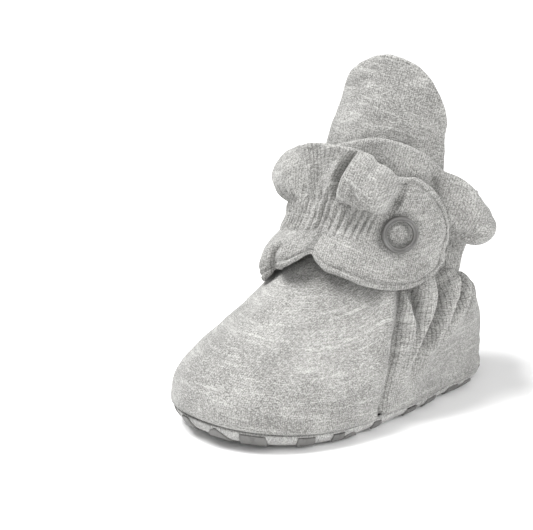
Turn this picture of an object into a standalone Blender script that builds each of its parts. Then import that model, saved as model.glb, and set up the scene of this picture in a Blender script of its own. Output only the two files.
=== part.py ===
"""A baby's soft bootie, left foot, in brushed cotton jersey with a gripper sole.

The toe points towards -Y and the heel towards +Y. The wearer's left, where the flap
snaps shut, is +X. The dots of the sole stand on z = 0, under the middle of the shoe.
"""
import math
import random
from collections import namedtuple

import bmesh
import bpy
import numpy as np

MM = 0.001

# Driving sizes of the foot
SOLE_LENGTH = 104.0 * MM
BALL_HALF_WIDTH = 29.3 * MM
WAIST_HALF_WIDTH = 25.9 * MM
HEEL_HALF_WIDTH = 22.1 * MM
OUTLINE_BOW = 0.9 * MM            # the middle of the outline lies this far towards +X
TOE_SPRING = 2.5 * MM
HEEL_LIFT = 1.0 * MM
SPRING_STARTS = -20.0 * MM        # y where the sole starts to rise to the toe
LIFT_STARTS = 32.0 * MM           # y where it starts to rise to the heel

# Cloth
CLOTH = 2.0 * MM                  # shell and lining together
BAND_CLOTH = 1.7 * MM
CLEAR = 0.35 * MM                 # between pieces that touch

# Sole panel and insole
DOT_HEIGHT = 0.5 * MM
SOLE_FLOOR = 2.9 * MM             # upper side of the panel, inside the rim
RIM_TOE = 4.5 * MM                # height of the seam at the toe
RIM_HEEL = 3.2 * MM
SEAM_INSET = 0.9 * MM             # the seam lies inside the fullest outline
INSOLE_THICKNESS = 1.6 * MM
INSOLE_INSET = 4.3 * MM

# Ankle: a ring that leans back towards the heel
ANKLE_Y = 18.7 * MM
ANKLE_Z = 47.0 * MM
ANKLE_TILT = math.radians(22.0)
ANKLE_RADIUS = 25.5 * MM          # mean radius of an oval
ANKLE_ACROSS = 0.925              # its share of the radius from side to side
ANKLE_ALONG = 1.075               # and from toe to heel
GATHER_FOOT = -7.0 * MM           # heights along the ankle's axis
GATHER_LENGTH = 15.5 * MM
RIB_DEPTH = 0.45 * MM

# Side seams between vamp and quarters
SEAM_COLUMN = 16
COLUMNS = 72
SEAM_AZIMUTH = math.radians(65.0)
SEAM_DIP = 1.0 * MM
SEAM_DIP_SHARE = 0.02             # half width of the dip, by share of the way from toe to heel
TUCK_TURN = math.radians(14.0)    # the vamp tucks in under the band over this turn

# Tongue
TONGUE_RADIUS = 22.7 * MM
TONGUE_TOP = 50.0 * MM
TONGUE_SHOULDER = 14.0 * MM
TONGUE_HALF_WIDTH = 22.5 * MM
TONGUE_TURN = math.radians(27.0)  # the free end turns this far towards +X
TONGUE_TURN_HEIGHT = 24.0 * MM    # over this height
TONGUE_ROUNDNESS = 2.15
TONGUE_ROUND_STOPS = 0.997        # share of the rounding that is built

# Flap and its ring snap
FLAP_RADIUS = 28.4 * MM
FLAP_STRIP = 5.6 * MM             # plain strip below the gathers
FLARE_STARTS = 4.5 * MM           # cloth above the gathers' foot where the strip stands out
FLAP_RISE_TURN = math.radians(40.0)   # the flap climbs onto the tongue over this turn
FLAP_END = math.radians(92.6)
FLAP_ROUNDNESS = 2.3
FLAP_ROUND_STARTS = math.radians(54.0)
FLAP_ROUND_STOPS = 0.985          # share of the rounding that is built
FLAP_PLAIN = (34.0, 54.0)         # degrees between which the gathers fade to plain cloth
FLAP_MIDDLE = 1.5 * MM            # height of the rounded end's middle
SNAP_AZIMUTH = math.radians(60.7)
SNAP_HEIGHT = 2.5 * MM
SNAP_OUTER = 5.4 * MM
SNAP_INNER = 3.55 * MM
SNAP_RISE = 1.2 * MM

Width = namedtuple("Width", "along half")
WIDTHS = [
    Width(0.00, BALL_HALF_WIDTH), Width(0.355, BALL_HALF_WIDTH), Width(0.62, WAIST_HALF_WIDTH),
    Width(0.78, HEEL_HALF_WIDTH), Width(1.00, HEEL_HALF_WIDTH),
]
TOE_ROUND_ENDS = 0.355
TOE_ROUNDNESS = 2.2
HEEL_ROUND_STARTS = 0.78
HEEL_ROUNDNESS = 2.3

# How the cloth rises from the seam to the ankle, by share of the way from toe to heel:
# it leaves the seam by rise and swell, and meets the ankle from drop below and reach outside.
Meridian = namedtuple("Meridian", "share rise swell drop reach")
MERIDIANS = [
    Meridian(0.00, 13.5, 9.6, 14.0, 10.8),
    Meridian(0.22, 10.5, 8.6, 15.0, 6.0),
    Meridian(0.44, 12.5, 4.5, 11.0, 3.4),
    Meridian(0.70, 13.0, 0.0, 5.6, 11.6),
    Meridian(0.86, 13.0, -0.2, 5.4, 11.6),
    Meridian(1.00, 13.0, -0.2, 7.4, 8.4),
]

# Underside of the sole panel, by how far inside the outline a point lies.
Roll = namedtuple("Roll", "inset height")
SOLE_ROLL = [Roll(0.9, 4.5), Roll(1.1, 3.6), Roll(2.0, 2.2), Roll(3.3, 1.1), Roll(5.4, 0.5)]

# Lean of the frill's free edge, in degrees outwards from the ankle's axis, one row for
# each wave and hollow. The first table runs from under the flap round the heel.
Wave = namedtuple("Wave", "azimuth lean length")
QUARTER_WAVES = [
    Wave(-20, 8, 12), Wave(16, 8, 13), Wave(38, 24, 15), Wave(56, 22, 16),
    Wave(70, 12, 15), Wave(88, 30, 14.5), Wave(110, 176, 13.5), Wave(128, 50, 14.5),
    Wave(143, 116, 15), Wave(159, 40, 14.5), Wave(176, 98, 15), Wave(194, 36, 14.5),
    Wave(212, 116, 15), Wave(231, 48, 14), Wave(248, 108, 14), Wave(266, 40, 12.5),
    Wave(281, 84, 12.5), Wave(295, 60, 10),
]
FLAP_WAVES = [
    Wave(-65, 60, 10), Wave(-46, 124, 9.5), Wave(-25, 66, 11.5), Wave(-6, 60, 13),
    Wave(16, 20, 13), Wave(38, 150, 15), Wave(54, 30, 9.4), Wave(94, 0, 9.4),
]
# How far the flap's plain strip stands out over the vamp, and how much wider it is there.
Flare = namedtuple("Flare", "azimuth out drop")
FLAP_FLARE = [
    Flare(-65, 4.2, 2.0), Flare(-44, 4.0, 3.4), Flare(-20, 4.0, 1.6), Flare(4, 2.9, -0.4),
    Flare(34, 2.2, 0), Flare(94, 1.0, 0),
]

# Gripper dots, largest first
DotSize = namedtuple("DotSize", "radius count sides")
DOT_SIZES = [DotSize(4.0, 17, 12), DotSize(2.7, 24, 10), DotSize(1.7, 26, 8)]
Spot = namedtuple("Spot", "x y")
REST_DOTS = [Spot(0, 0), Spot(0, 28), Spot(0, -16)]   # large dots where the sole is flat
DOT_TRIALS = 260
DOT_SEED = 11
DOT_EDGE = 2.6 * MM               # a dot stops this far inside the outline
DOT_SHOWN = 0.45                  # and at least this share of its radius lies clear of that line
DOT_GAP = 0.8 * MM
DOT_ROOT = 0.8 * MM               # a dot reaches this far up into the panel

OUTLINE_STEPS = 1440


def curve_through(rows, column, key):
    """A smooth curve through the rows' column, read at key; level beyond both ends."""
    xs = np.array([row[0] for row in rows], float)
    ys = np.array([getattr(row, column) for row in rows], float)
    slopes = np.zeros(len(xs))
    slopes[1:-1] = (ys[2:] - ys[:-2]) / (xs[2:] - xs[:-2])
    key = np.clip(np.asarray(key, float), xs[0], xs[-1])
    i = np.clip(np.searchsorted(xs, key, side="right") - 1, 0, len(xs) - 2)
    span = xs[i + 1] - xs[i]
    t = (key - xs[i]) / span
    return ((1 + 2 * t) * (1 - t) ** 2 * ys[i] + t * (1 - t) ** 2 * span * slopes[i]
            + t * t * (3 - 2 * t) * ys[i + 1] + t * t * (t - 1) * span * slopes[i + 1])


def ease(t):
    """0 to 1 with level ends."""
    t = np.clip(t, 0.0, 1.0)
    return t * t * (3 - 2 * t)


# Outline of the foot
def outline():
    """The fullest outline in plan, from the toe round by +X, with the length run so far."""
    turn = np.linspace(0.0, 2 * math.pi, OUTLINE_STEPS + 1)
    along = (1 - np.cos(turn)) / 2
    half = curve_through(WIDTHS, "half", along)
    toe = np.clip((TOE_ROUND_ENDS - along) / TOE_ROUND_ENDS, 0, 1)
    heel = np.clip((along - HEEL_ROUND_STARTS) / (1 - HEEL_ROUND_STARTS), 0, 1)
    half = half * (1 - toe ** TOE_ROUNDNESS) ** (1 / TOE_ROUNDNESS)
    half = half * (1 - heel ** HEEL_ROUNDNESS) ** (1 / HEEL_ROUNDNESS)
    x = half * np.sign(np.sin(turn)) + OUTLINE_BOW * (1 - (2 * along - 1) ** 2)
    y = (along - 0.5) * SOLE_LENGTH
    run = np.concatenate([[0.0], np.cumsum(np.hypot(np.diff(x), np.diff(y)))])
    return x, y, run / run[-1]


OUTLINE_X, OUTLINE_Y, OUTLINE_RUN = outline()


def foot_plan(turn):
    """Points of the outline and their outward directions, for shares of one turn."""
    turn = np.asarray(turn, float)

    def read(share):
        share = share % 1.0
        x = np.interp(share, OUTLINE_RUN, OUTLINE_X)
        return np.stack([x, np.interp(share, OUTLINE_RUN, OUTLINE_Y)], -1)

    step = 0.004
    tangent = read(turn + step) - read(turn - step)
    tangent /= np.linalg.norm(tangent, axis=-1, keepdims=True)
    return read(turn), np.stack([tangent[..., 1], -tangent[..., 0]], -1)


def lift(y):
    """Rise of the whole underside towards toe and heel."""
    toe = np.clip((SPRING_STARTS - y) / (SOLE_LENGTH / 2 + SPRING_STARTS), 0, None)
    heel = np.clip((y - LIFT_STARTS) / (SOLE_LENGTH / 2 - LIFT_STARTS), 0, None)
    return TOE_SPRING * toe ** 2 + HEEL_LIFT * heel ** 2


def rim_height(y):
    """Height of the seam between sole and upper."""
    along = np.clip(y / SOLE_LENGTH + 0.5, 0, 1)
    return RIM_TOE + (RIM_HEEL - RIM_TOE) * along + lift(y)


def inset_of(x, y):
    """How far inside the outline a point in plan lies, negative outside."""
    gap = np.hypot(OUTLINE_X - x, OUTLINE_Y - y)
    i = int(np.argmin(gap))
    ahead = (i + 1) % OUTLINE_STEPS
    behind = (i - 1) % OUTLINE_STEPS
    tx, ty = OUTLINE_X[ahead] - OUTLINE_X[behind], OUTLINE_Y[ahead] - OUTLINE_Y[behind]
    outward = (x - OUTLINE_X[i]) * ty - (y - OUTLINE_Y[i]) * tx
    return -math.copysign(gap[i], outward)


def underside(inset, y):
    """Height of the sole panel's underside."""
    shape = curve_through(SOLE_ROLL, "height", inset / MM) * MM
    base = SOLE_ROLL[-1].height * MM
    top = SOLE_ROLL[0].height * MM
    return base + (shape - base) * (rim_height(y) - lift(y) - base) / (top - base) + lift(y)


# The ankle
def ankle_point(azimuth, radius, height):
    """A point round the leaning ankle, from the toe's side towards +X."""
    across = ANKLE_ACROSS * radius * np.sin(azimuth)
    back = -ANKLE_ALONG * radius * np.cos(azimuth)
    y = ANKLE_Y + back * math.cos(ANKLE_TILT) + height * math.sin(ANKLE_TILT)
    z = ANKLE_Z - back * math.sin(ANKLE_TILT) + height * math.cos(ANKLE_TILT)
    return np.stack(np.broadcast_arrays(across, y, z), -1)


def share_of(turn):
    """Share of the way from toe to heel, on either side."""
    turn = np.asarray(turn, float) % 1.0
    return np.where(turn <= 0.5, 2 * turn, 2 * (1 - turn))


def azimuth_of(turn):
    """Where a meridian that starts at this share of the outline meets the ankle."""
    spread = math.log(SEAM_AZIMUTH / math.pi) / math.log(2 * SEAM_COLUMN / COLUMNS)
    side = np.where(np.asarray(turn) % 1.0 <= 0.5, 1.0, -1.0)
    return side * math.pi * share_of(turn) ** spread


def throat_radius(azimuth):
    """Outer radius at the foot of the gathers, where the vamp tucks in under the band."""
    tuck = ease((SEAM_AZIMUTH - np.abs(azimuth)) / TUCK_TURN)
    return ANKLE_RADIUS - (ANKLE_RADIUS - TONGUE_RADIUS) * tuck


def body_point(turn, level):
    """Outer surface from the sole seam, level 0, to the foot of the gathers, level 1."""
    plan, out = foot_plan(turn)
    share = share_of(turn)
    azimuth = azimuth_of(turn)
    columns = Meridian._fields[1:]
    rise, swell, drop, reach = (curve_through(MERIDIANS, name, share) * MM for name in columns)
    seam = (rim_height(plan[..., 1]) + CLEAR)[..., None]
    foot = np.concatenate([plan - out * SEAM_INSET, seam], -1)
    top = ankle_point(azimuth, throat_radius(azimuth), GATHER_FOOT)
    radial = np.stack([np.sin(azimuth), -np.cos(azimuth)], -1)
    low = foot + np.concatenate([out * swell[..., None], rise[..., None]], -1)
    high = top + np.concatenate([radial * reach[..., None], -drop[..., None]], -1)
    k = level
    skin = (1 - k) ** 3 * foot + 3 * (1 - k) ** 2 * k * low
    skin = skin + 3 * (1 - k) * k ** 2 * high + k ** 3 * top
    away = (share - 2 * SEAM_COLUMN / COLUMNS) / SEAM_DIP_SHARE
    dip = SEAM_DIP * np.exp(-away ** 2) * math.sin(math.pi * k)
    skin[..., :2] -= out * dip[..., None]
    return skin


def frill(radius, waves, azimuth, share, scale=1.0):
    """Radius and height of cloth that rolls outwards evenly as it leaves the gathers."""
    degrees = math.degrees(azimuth)
    bend = max(math.radians(float(curve_through(waves, "lean", degrees))) * scale, 0.01)
    roll = float(curve_through(waves, "length", degrees)) * MM / bend
    angle = bend * share
    start = GATHER_FOOT + GATHER_LENGTH
    return radius + roll * (1 - math.cos(angle)), start + roll * math.sin(angle)


def rib(azimuth, cloth):
    """Depth of the gathers, which fade at both edges of the elastic."""
    fade = math.sin(math.pi * min(max(cloth / GATHER_LENGTH, 0.0), 1.0))
    return RIB_DEPTH * fade * np.cos(azimuth * COLUMNS / 2)


def quarter_point(azimuth, cloth, share=0.0):
    """Outer surface of the ankle band, by the length of cloth above the gathers' foot.

    Share runs over the frill, from its gathers at 0 to its free edge at 1.
    """
    radius = ANKLE_RADIUS + rib(azimuth, cloth)
    radius += UNDERLAP_EASE * float(ease((SEAM_AZIMUTH - azimuth) / UNDERLAP_EASE_TURN))
    height = GATHER_FOOT + cloth
    if share > 0:
        radius, height = frill(radius, QUARTER_WAVES, azimuth, share)
    return ankle_point(azimuth, radius, height)


# Flap
def flap_point(azimuth, cloth, share=0.0):
    """Outer surface of the flap, in the same measures."""
    degrees = math.degrees(azimuth)
    climb = float(ease((azimuth + SEAM_AZIMUTH) / FLAP_RISE_TURN))
    radius = ANKLE_RADIUS + (FLAP_RADIUS - ANKLE_RADIUS) * climb
    turn_in = (azimuth - FLAP_ROUND_STARTS) / (FLAP_END - FLAP_ROUND_STARTS)
    turn_in = min(max(turn_in, 0.0), FLAP_ROUND_STOPS)
    squeeze = (1 - turn_in ** FLAP_ROUNDNESS) ** (1 / FLAP_ROUNDNESS)
    plain = float(ease((degrees - FLAP_PLAIN[0]) / (FLAP_PLAIN[1] - FLAP_PLAIN[0])))
    radius += rib(azimuth, cloth) * (1 - plain)
    below = min(max((FLARE_STARTS - cloth) / (FLARE_STARTS + FLAP_STRIP), 0.0), 1.0)
    out, drop = (float(curve_through(FLAP_FLARE, name, degrees)) * MM for name in ("out", "drop"))
    radius += below * out
    height = GATHER_FOOT + cloth - below ** 2 * drop
    if share > 0:
        radius, height = frill(radius, FLAP_WAVES, azimuth, share, squeeze)
    return ankle_point(azimuth, radius, FLAP_MIDDLE + (height - FLAP_MIDDLE) * squeeze)


# Tongue
def tongue_point(across, height):
    """Outer surface of the tongue; across runs from -1 to 1."""
    t = (height - TONGUE_SHOULDER) / (TONGUE_TOP - TONGUE_SHOULDER)
    t = min(max(t, 0.0), TONGUE_ROUND_STOPS)
    half = TONGUE_HALF_WIDTH * (1 - t ** TONGUE_ROUNDNESS) ** (1 / TONGUE_ROUNDNESS)
    turned = TONGUE_TURN * float(ease((height - GATHER_FOOT) / TONGUE_TURN_HEIGHT))
    azimuth = turned + across * half / TONGUE_RADIUS
    return ankle_point(azimuth, TONGUE_RADIUS, height)


# Building
def clear_scene():
    for thing in list(bpy.data.objects):
        bpy.data.objects.remove(thing, do_unlink=True)


def material(name, colour, roughness, metallic=0.0):
    made = bpy.data.materials.new(name)
    made.use_nodes = True
    shader = made.node_tree.nodes["Principled BSDF"]
    shader.inputs["Base Color"].default_value = (*colour, 1.0)
    shader.inputs["Roughness"].default_value = roughness
    shader.inputs["Metallic"].default_value = metallic
    return made


def add_mesh(name, points, faces, finish):
    mesh = bpy.data.meshes.new(name)
    mesh.from_pydata([tuple(float(c) for c in p) for p in points], [], faces)
    mesh.validate()
    made = bpy.data.objects.new(name, mesh)
    bpy.context.collection.objects.link(made)
    mesh.materials.append(finish)
    mesh.shade_smooth()
    return made


def face_outwards(made):
    """Turns a closed mesh's faces to point out."""
    work = bmesh.new()
    work.from_mesh(made.data)
    bmesh.ops.recalc_face_normals(work, faces=work.faces)
    work.to_mesh(made.data)
    work.free()


def thicken(made, thickness):
    """Gives a sheet its thickness on the inner side."""
    solid = made.modifiers.new("Thickness", "SOLIDIFY")
    solid.thickness = thickness
    solid.offset = -1.0
    solid.use_rim = True
    solid.use_quality_normals = True
    return solid


class Sheet:
    """Points added by name, and four-sided faces between them."""

    def __init__(self):
        self.points = []
        self.names = {}
        self.faces = []

    def add(self, name, point):
        self.names[name] = len(self.points)
        self.points.append(point)

    def face(self, *names):
        self.faces.append([self.names[n] for n in names])


BODY_LEVELS = [0.0, 0.10, 0.22, 0.35, 0.48, 0.61, 0.74, 0.87, 1.0]
GATHER_LEVELS = [1.4 * MM, 6.0 * MM, 10.8 * MM, GATHER_LENGTH]
FRILL_SHARES = [k / 5 for k in range(1, 6)]
UNDERLAP_COLUMNS = 14
UNDERLAP_END = math.radians(-20.0)
UNDERLAP_EASE = 0.4 * MM          # the under-lap stands this much wider than the quarters
UNDERLAP_EASE_TURN = math.radians(25.0)


def make_upper(finish):
    """Vamp and quarters in one, with the ankle band and the part that goes under the flap."""
    sheet = Sheet()
    levels = len(BODY_LEVELS)
    for i, level in enumerate(BODY_LEVELS):
        ring = body_point(np.arange(COLUMNS) / COLUMNS, level)
        for j in range(COLUMNS):
            sheet.add(("body", i, j), ring[j])
    for i in range(levels - 1):
        for j in range(COLUMNS):
            k = (j + 1) % COLUMNS
            sheet.face(("body", i, j), ("body", i, k), ("body", i + 1, k), ("body", i + 1, j))
    band = [(cloth, 0.0) for cloth in GATHER_LEVELS]
    band += [(GATHER_LENGTH, share) for share in FRILL_SHARES]
    first, last = SEAM_COLUMN, COLUMNS - SEAM_COLUMN
    for i, (cloth, share) in enumerate(band):
        for j in range(first, last + 1):
            azimuth = float(azimuth_of(j / COLUMNS)) % (2 * math.pi)
            sheet.add(("body", levels + i, j), quarter_point(azimuth, cloth, share))
        for j in range(1, UNDERLAP_COLUMNS + 1):
            azimuth = SEAM_AZIMUTH + (UNDERLAP_END - SEAM_AZIMUTH) * j / UNDERLAP_COLUMNS
            sheet.add(("lap", i, j), quarter_point(azimuth, cloth, share))
        sheet.names[("lap", i, 0)] = sheet.names[("body", levels + i, first)]
    for i in range(levels - 1, levels - 1 + len(band)):
        for j in range(first, last):
            sheet.face(("body", i, j), ("body", i, j + 1), ("body", i + 1, j + 1), ("body", i + 1, j))
    for i in range(len(band) - 1):
        for j in range(UNDERLAP_COLUMNS):
            sheet.face(("lap", i, j + 1), ("lap", i, j), ("lap", i + 1, j), ("lap", i + 1, j + 1))
    made = add_mesh("upper", sheet.points, sheet.faces, finish)
    thicken(made, CLOTH)
    return made


FLAP_COLUMNS = 26
FLAP_STOPS_SHORT = math.radians(0.5)
FLAP_LEVELS = [-FLAP_STRIP, -2.4 * MM, 0.8 * MM, 5.6 * MM, 10.6 * MM, GATHER_LENGTH]
FLAP_FRILL_SHARES = [k / 4 for k in range(1, 5)]


def make_flap(finish):
    """The quarter's front end, which crosses over the tongue and snaps on the wearer's left."""
    start = -SEAM_AZIMUTH + 2 * CLEAR / ANKLE_RADIUS
    stop = FLAP_END - FLAP_STOPS_SHORT
    levels = [(cloth, 0.0) for cloth in FLAP_LEVELS]
    levels += [(GATHER_LENGTH, share) for share in FLAP_FRILL_SHARES]
    sheet = Sheet()
    for i, (cloth, share) in enumerate(levels):
        for j in range(FLAP_COLUMNS + 1):
            t = j / FLAP_COLUMNS
            crowded = t + 0.08 * math.sin(math.pi * t) * t
            azimuth = start + (stop - start) * crowded
            sheet.add((i, j), flap_point(azimuth, cloth, share))
    for i in range(len(levels) - 1):
        for j in range(FLAP_COLUMNS):
            sheet.face((i, j), (i, j + 1), (i + 1, j + 1), (i + 1, j))
    made = add_mesh("flap", sheet.points, sheet.faces, finish)
    thicken(made, BAND_CLOTH)
    return made


TONGUE_COLUMNS = 12
TONGUE_ROWS = 13


def make_tongue(finish):
    """The vamp's free upper end."""
    low = GATHER_FOOT + CLEAR
    sheet = Sheet()
    for i in range(TONGUE_ROWS + 1):
        t = i / TONGUE_ROWS
        height = low + (TONGUE_TOP - low) * math.sin(math.pi / 2 * t) ** 1.1
        for j in range(TONGUE_COLUMNS + 1):
            sheet.add((i, j), tongue_point(2 * j / TONGUE_COLUMNS - 1, height))
    for i in range(TONGUE_ROWS):
        for j in range(TONGUE_COLUMNS):
            sheet.face((i, j), (i, j + 1), (i + 1, j + 1), (i + 1, j))
    made = add_mesh("tongue", sheet.points, sheet.faces, finish)
    thicken(made, CLOTH)
    return made


SOLE_COLUMNS = 48
INNER_RINGS = (0.68, 0.36)
WALL_SLOPE = 0.5 * MM             # the rim's inner side leans in this far at its foot


def ring_stack(rings, middle_low, middle_high):
    """One closed solid from rings of equal length, closed by a point below and above."""
    count = len(rings[0])
    points = [p for ring in rings for p in ring] + [middle_low, middle_high]
    low, high = len(points) - 2, len(points) - 1
    faces = []
    for i in range(len(rings) - 1):
        for j in range(count):
            k = (j + 1) % count
            faces.append([i * count + j, i * count + k, (i + 1) * count + k, (i + 1) * count + j])
    for j in range(count):
        k = (j + 1) % count
        faces.append([low, k, j])
        top = (len(rings) - 1) * count
        faces.append([high, top + j, top + k])
    return points, faces


def inset_ring(inset, height_of):
    """A ring at an even distance inside the outline."""
    plan, out = foot_plan(np.arange(SOLE_COLUMNS) / SOLE_COLUMNS)
    plan = plan - out * inset
    return [(x, y, height_of(y)) for x, y in plan]


def shrunk_ring(ring, scale, height_of):
    """The same ring drawn towards the sole's middle line."""
    return [(x * scale, y * scale, height_of(y * scale)) for x, y, _ in ring]


def dot_layout():
    """Places for the dots: each goes to the roomiest of many seeded trials."""
    draw = random.Random(DOT_SEED)
    large = DOT_SIZES[0]
    placed = [(s.x * MM, s.y * MM, large.radius * MM, large.sides) for s in REST_DOTS]
    for size in DOT_SIZES:
        radius = size.radius * MM
        wanted = size.count - (len(REST_DOTS) if size is large else 0)
        for _ in range(wanted):
            best, best_room = None, -1.0
            for _ in range(DOT_TRIALS):
                x = draw.uniform(-BALL_HALF_WIDTH, BALL_HALF_WIDTH)
                y = draw.uniform(-SOLE_LENGTH / 2, SOLE_LENGTH / 2)
                edge = float(inset_of(x, y))
                if edge < DOT_EDGE + DOT_SHOWN * radius:
                    continue
                room = min(math.hypot(x - a, y - b) - r - radius for a, b, r, _ in placed)
                if room > best_room:
                    best, best_room = (x, y, radius, size.sides), room
            if best and best_room > DOT_GAP:
                placed.append(best)
    return placed


def dot_solid(x, y, radius, sides):
    """A low disc that follows the panel's underside and stops short of its seam."""
    rim = []
    for k in range(sides):
        angle = 2 * math.pi * k / sides
        px, py = x + radius * math.cos(angle), y + radius * math.sin(angle)
        for _ in range(3):
            edge = inset_of(px, py)
            if edge < DOT_EDGE:
                pull = (DOT_EDGE - edge) / max(math.hypot(px - x, py - y), 1e-6)
                px, py = px + (x - px) * pull, py + (y - py) * pull
        rim.append((px, py))
    middle = (x, y)

    def at(point, offset):
        edge = max(inset_of(*point), DOT_EDGE)
        return (point[0], point[1], float(underside(edge, point[1])) + offset)

    low = [at(p, -DOT_HEIGHT) for p in rim]
    high = [at(p, DOT_ROOT) for p in rim]
    return ring_stack([low, high], at(middle, -DOT_HEIGHT), at(middle, DOT_ROOT))


def make_sole(finish):
    """The padded sole panel, its turned-up rim and its gripper dots."""
    def flat_below(y):
        return float(underside(BALL_HALF_WIDTH, y))

    def flat_above(y):
        return float(SOLE_FLOOR + lift(y))

    outer = []
    for row in SOLE_ROLL[::-1]:
        inset = row.inset * MM
        outer.append(inset_ring(inset, lambda y, inset=inset: float(underside(inset, y))))
    base = [shrunk_ring(outer[0], scale, flat_below) for scale in sorted(INNER_RINGS)]
    rim_inner = inset_ring(SEAM_INSET + CLOTH, rim_height)
    wall_foot = inset_ring(SEAM_INSET + CLOTH + WALL_SLOPE, flat_above)
    floor = [shrunk_ring(wall_foot, scale, flat_above) for scale in INNER_RINGS]
    rings = base + outer + [rim_inner, wall_foot] + floor
    points, faces = ring_stack(rings, (0, 0, flat_below(0.0)), (0, 0, flat_above(0.0)))
    sole = add_mesh("sole", points, faces, finish)
    face_outwards(sole)
    points, faces = [], []
    for x, y, radius, sides in dot_layout():
        dot_points, dot_faces = dot_solid(x, y, radius, sides)
        faces += [[len(points) + i for i in face] for face in dot_faces]
        points += dot_points
    dots = add_mesh("dots", points, faces, finish)
    face_outwards(dots)
    dots.hide_render = True
    dots.display_type = "WIRE"
    join = sole.modifiers.new("Dots", "BOOLEAN")
    join.operation = "UNION"
    join.solver = "EXACT"
    join.object = dots
    return sole


def make_insole(finish):
    """A thin pad inside, on the sole panel."""
    def below(y):
        return float(SOLE_FLOOR + CLEAR + lift(y))

    def above(y):
        return below(y) + INSOLE_THICKNESS

    edge_low = inset_ring(INSOLE_INSET, below)
    edge_high = inset_ring(INSOLE_INSET, above)
    under = [shrunk_ring(edge_low, scale, below) for scale in sorted(INNER_RINGS)]
    over = [shrunk_ring(edge_high, scale, above) for scale in INNER_RINGS]
    rings = under + [edge_low, edge_high] + over
    points, faces = ring_stack(rings, (0, 0, below(0.0)), (0, 0, above(0.0)))
    made = add_mesh("insole", points, faces, finish)
    face_outwards(made)
    return made


RING_SIDES = 24


# Section of the ring, by share of its width from the inner side and of its height
RING_SECTION = [(0, 0), (1, 0), (1, 0.55), (0.78, 0.92), (0.5, 1), (0.18, 0.86), (0, 0.5)]


def make_snap_ring(finish):
    """The snap's open ring, on the flap's outer side."""
    middle = ankle_point(SNAP_AZIMUTH, FLAP_RADIUS + CLEAR, SNAP_HEIGHT)
    base = ankle_point(SNAP_AZIMUTH, 0.0, 0.0)
    outward = ankle_point(SNAP_AZIMUTH, 1.0, 0.0) - base
    outward /= np.linalg.norm(outward)
    up = ankle_point(SNAP_AZIMUTH, 0.0, 1.0) - base
    side = np.cross(up, outward)
    width = SNAP_OUTER - SNAP_INNER
    section = [(SNAP_INNER + across * width, rise * SNAP_RISE) for across, rise in RING_SECTION]
    points = []
    for k in range(RING_SIDES):
        angle = 2 * math.pi * k / RING_SIDES
        spoke = side * math.cos(angle) + up * math.sin(angle)
        points += [middle + spoke * radius + outward * rise for radius, rise in section]
    n = len(section)
    faces = []
    for k in range(RING_SIDES):
        ahead = (k + 1) % RING_SIDES
        for i in range(n):
            j = (i + 1) % n
            faces.append([k * n + i, ahead * n + i, ahead * n + j, k * n + j])
    made = add_mesh("snap_ring", points, faces, finish)
    face_outwards(made)
    return made


def build():
    clear_scene()
    jersey = material("grey_jersey", (0.40, 0.40, 0.395), 0.9)
    lining = material("grey_lining", (0.46, 0.46, 0.455), 0.9)
    grip = material("gripper_sole", (0.34, 0.34, 0.335), 0.8)
    enamel = material("ring_enamel", (0.22, 0.215, 0.205), 0.35)
    make_sole(grip)
    make_insole(lining)
    make_upper(jersey)
    make_tongue(jersey)
    make_flap(jersey)
    make_snap_ring(enamel)


build()
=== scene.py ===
"""Looks of the baby's bootie: a soft left shoe in brushed heather-grey jersey.

Every cloth part is built here from the same driving sizes as the CAD source, on finer
grids and with its folds, and stands for its CAD node.
"""
import math
import random
from collections import namedtuple

import bpy
import numpy as np
from mathutils import Matrix, Vector


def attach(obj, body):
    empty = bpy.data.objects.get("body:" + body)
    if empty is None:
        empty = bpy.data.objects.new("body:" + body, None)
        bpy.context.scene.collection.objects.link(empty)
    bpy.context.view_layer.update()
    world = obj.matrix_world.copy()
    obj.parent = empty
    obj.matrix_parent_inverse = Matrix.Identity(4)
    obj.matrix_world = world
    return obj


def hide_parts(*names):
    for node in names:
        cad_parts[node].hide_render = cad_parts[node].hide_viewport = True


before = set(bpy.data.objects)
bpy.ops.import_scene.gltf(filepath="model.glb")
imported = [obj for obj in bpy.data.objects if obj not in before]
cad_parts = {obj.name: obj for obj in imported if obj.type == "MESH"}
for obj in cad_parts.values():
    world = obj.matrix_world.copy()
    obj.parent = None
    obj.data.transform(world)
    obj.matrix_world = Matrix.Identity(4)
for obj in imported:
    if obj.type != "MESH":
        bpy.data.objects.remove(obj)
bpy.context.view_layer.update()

MM = 0.001

# Sizes shared with the CAD source
SOLE_LENGTH = 104.0 * MM
BALL_HALF_WIDTH = 29.3 * MM
WAIST_HALF_WIDTH = 25.9 * MM
HEEL_HALF_WIDTH = 22.1 * MM
OUTLINE_BOW = 0.9 * MM
TOE_SPRING = 2.5 * MM
HEEL_LIFT = 1.0 * MM
SPRING_STARTS = -20.0 * MM
LIFT_STARTS = 32.0 * MM
CLOTH = 2.0 * MM
BAND_CLOTH = 1.7 * MM
CLEAR = 0.35 * MM
SOLE_FLOOR = 2.9 * MM
RIM_TOE = 4.5 * MM
RIM_HEEL = 3.2 * MM
SEAM_INSET = 0.9 * MM
INSOLE_THICKNESS = 1.6 * MM
INSOLE_INSET = 4.3 * MM
ANKLE_Y = 18.7 * MM
ANKLE_Z = 47.0 * MM
ANKLE_TILT = math.radians(22.0)
ANKLE_RADIUS = 25.5 * MM
ANKLE_ACROSS = 0.925
ANKLE_ALONG = 1.075
GATHER_FOOT = -7.0 * MM
SEAM_SHARE = 32 / 72              # share of the way from toe to heel, with the next azimuth
SEAM_AZIMUTH = math.radians(65.0)
TUCK_TURN = math.radians(14.0)
TONGUE_RADIUS = 22.7 * MM
TONGUE_TOP = 50.0 * MM
TONGUE_SHOULDER = 14.0 * MM
TONGUE_HALF_WIDTH = 22.5 * MM
TONGUE_TURN = math.radians(27.0)
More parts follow.
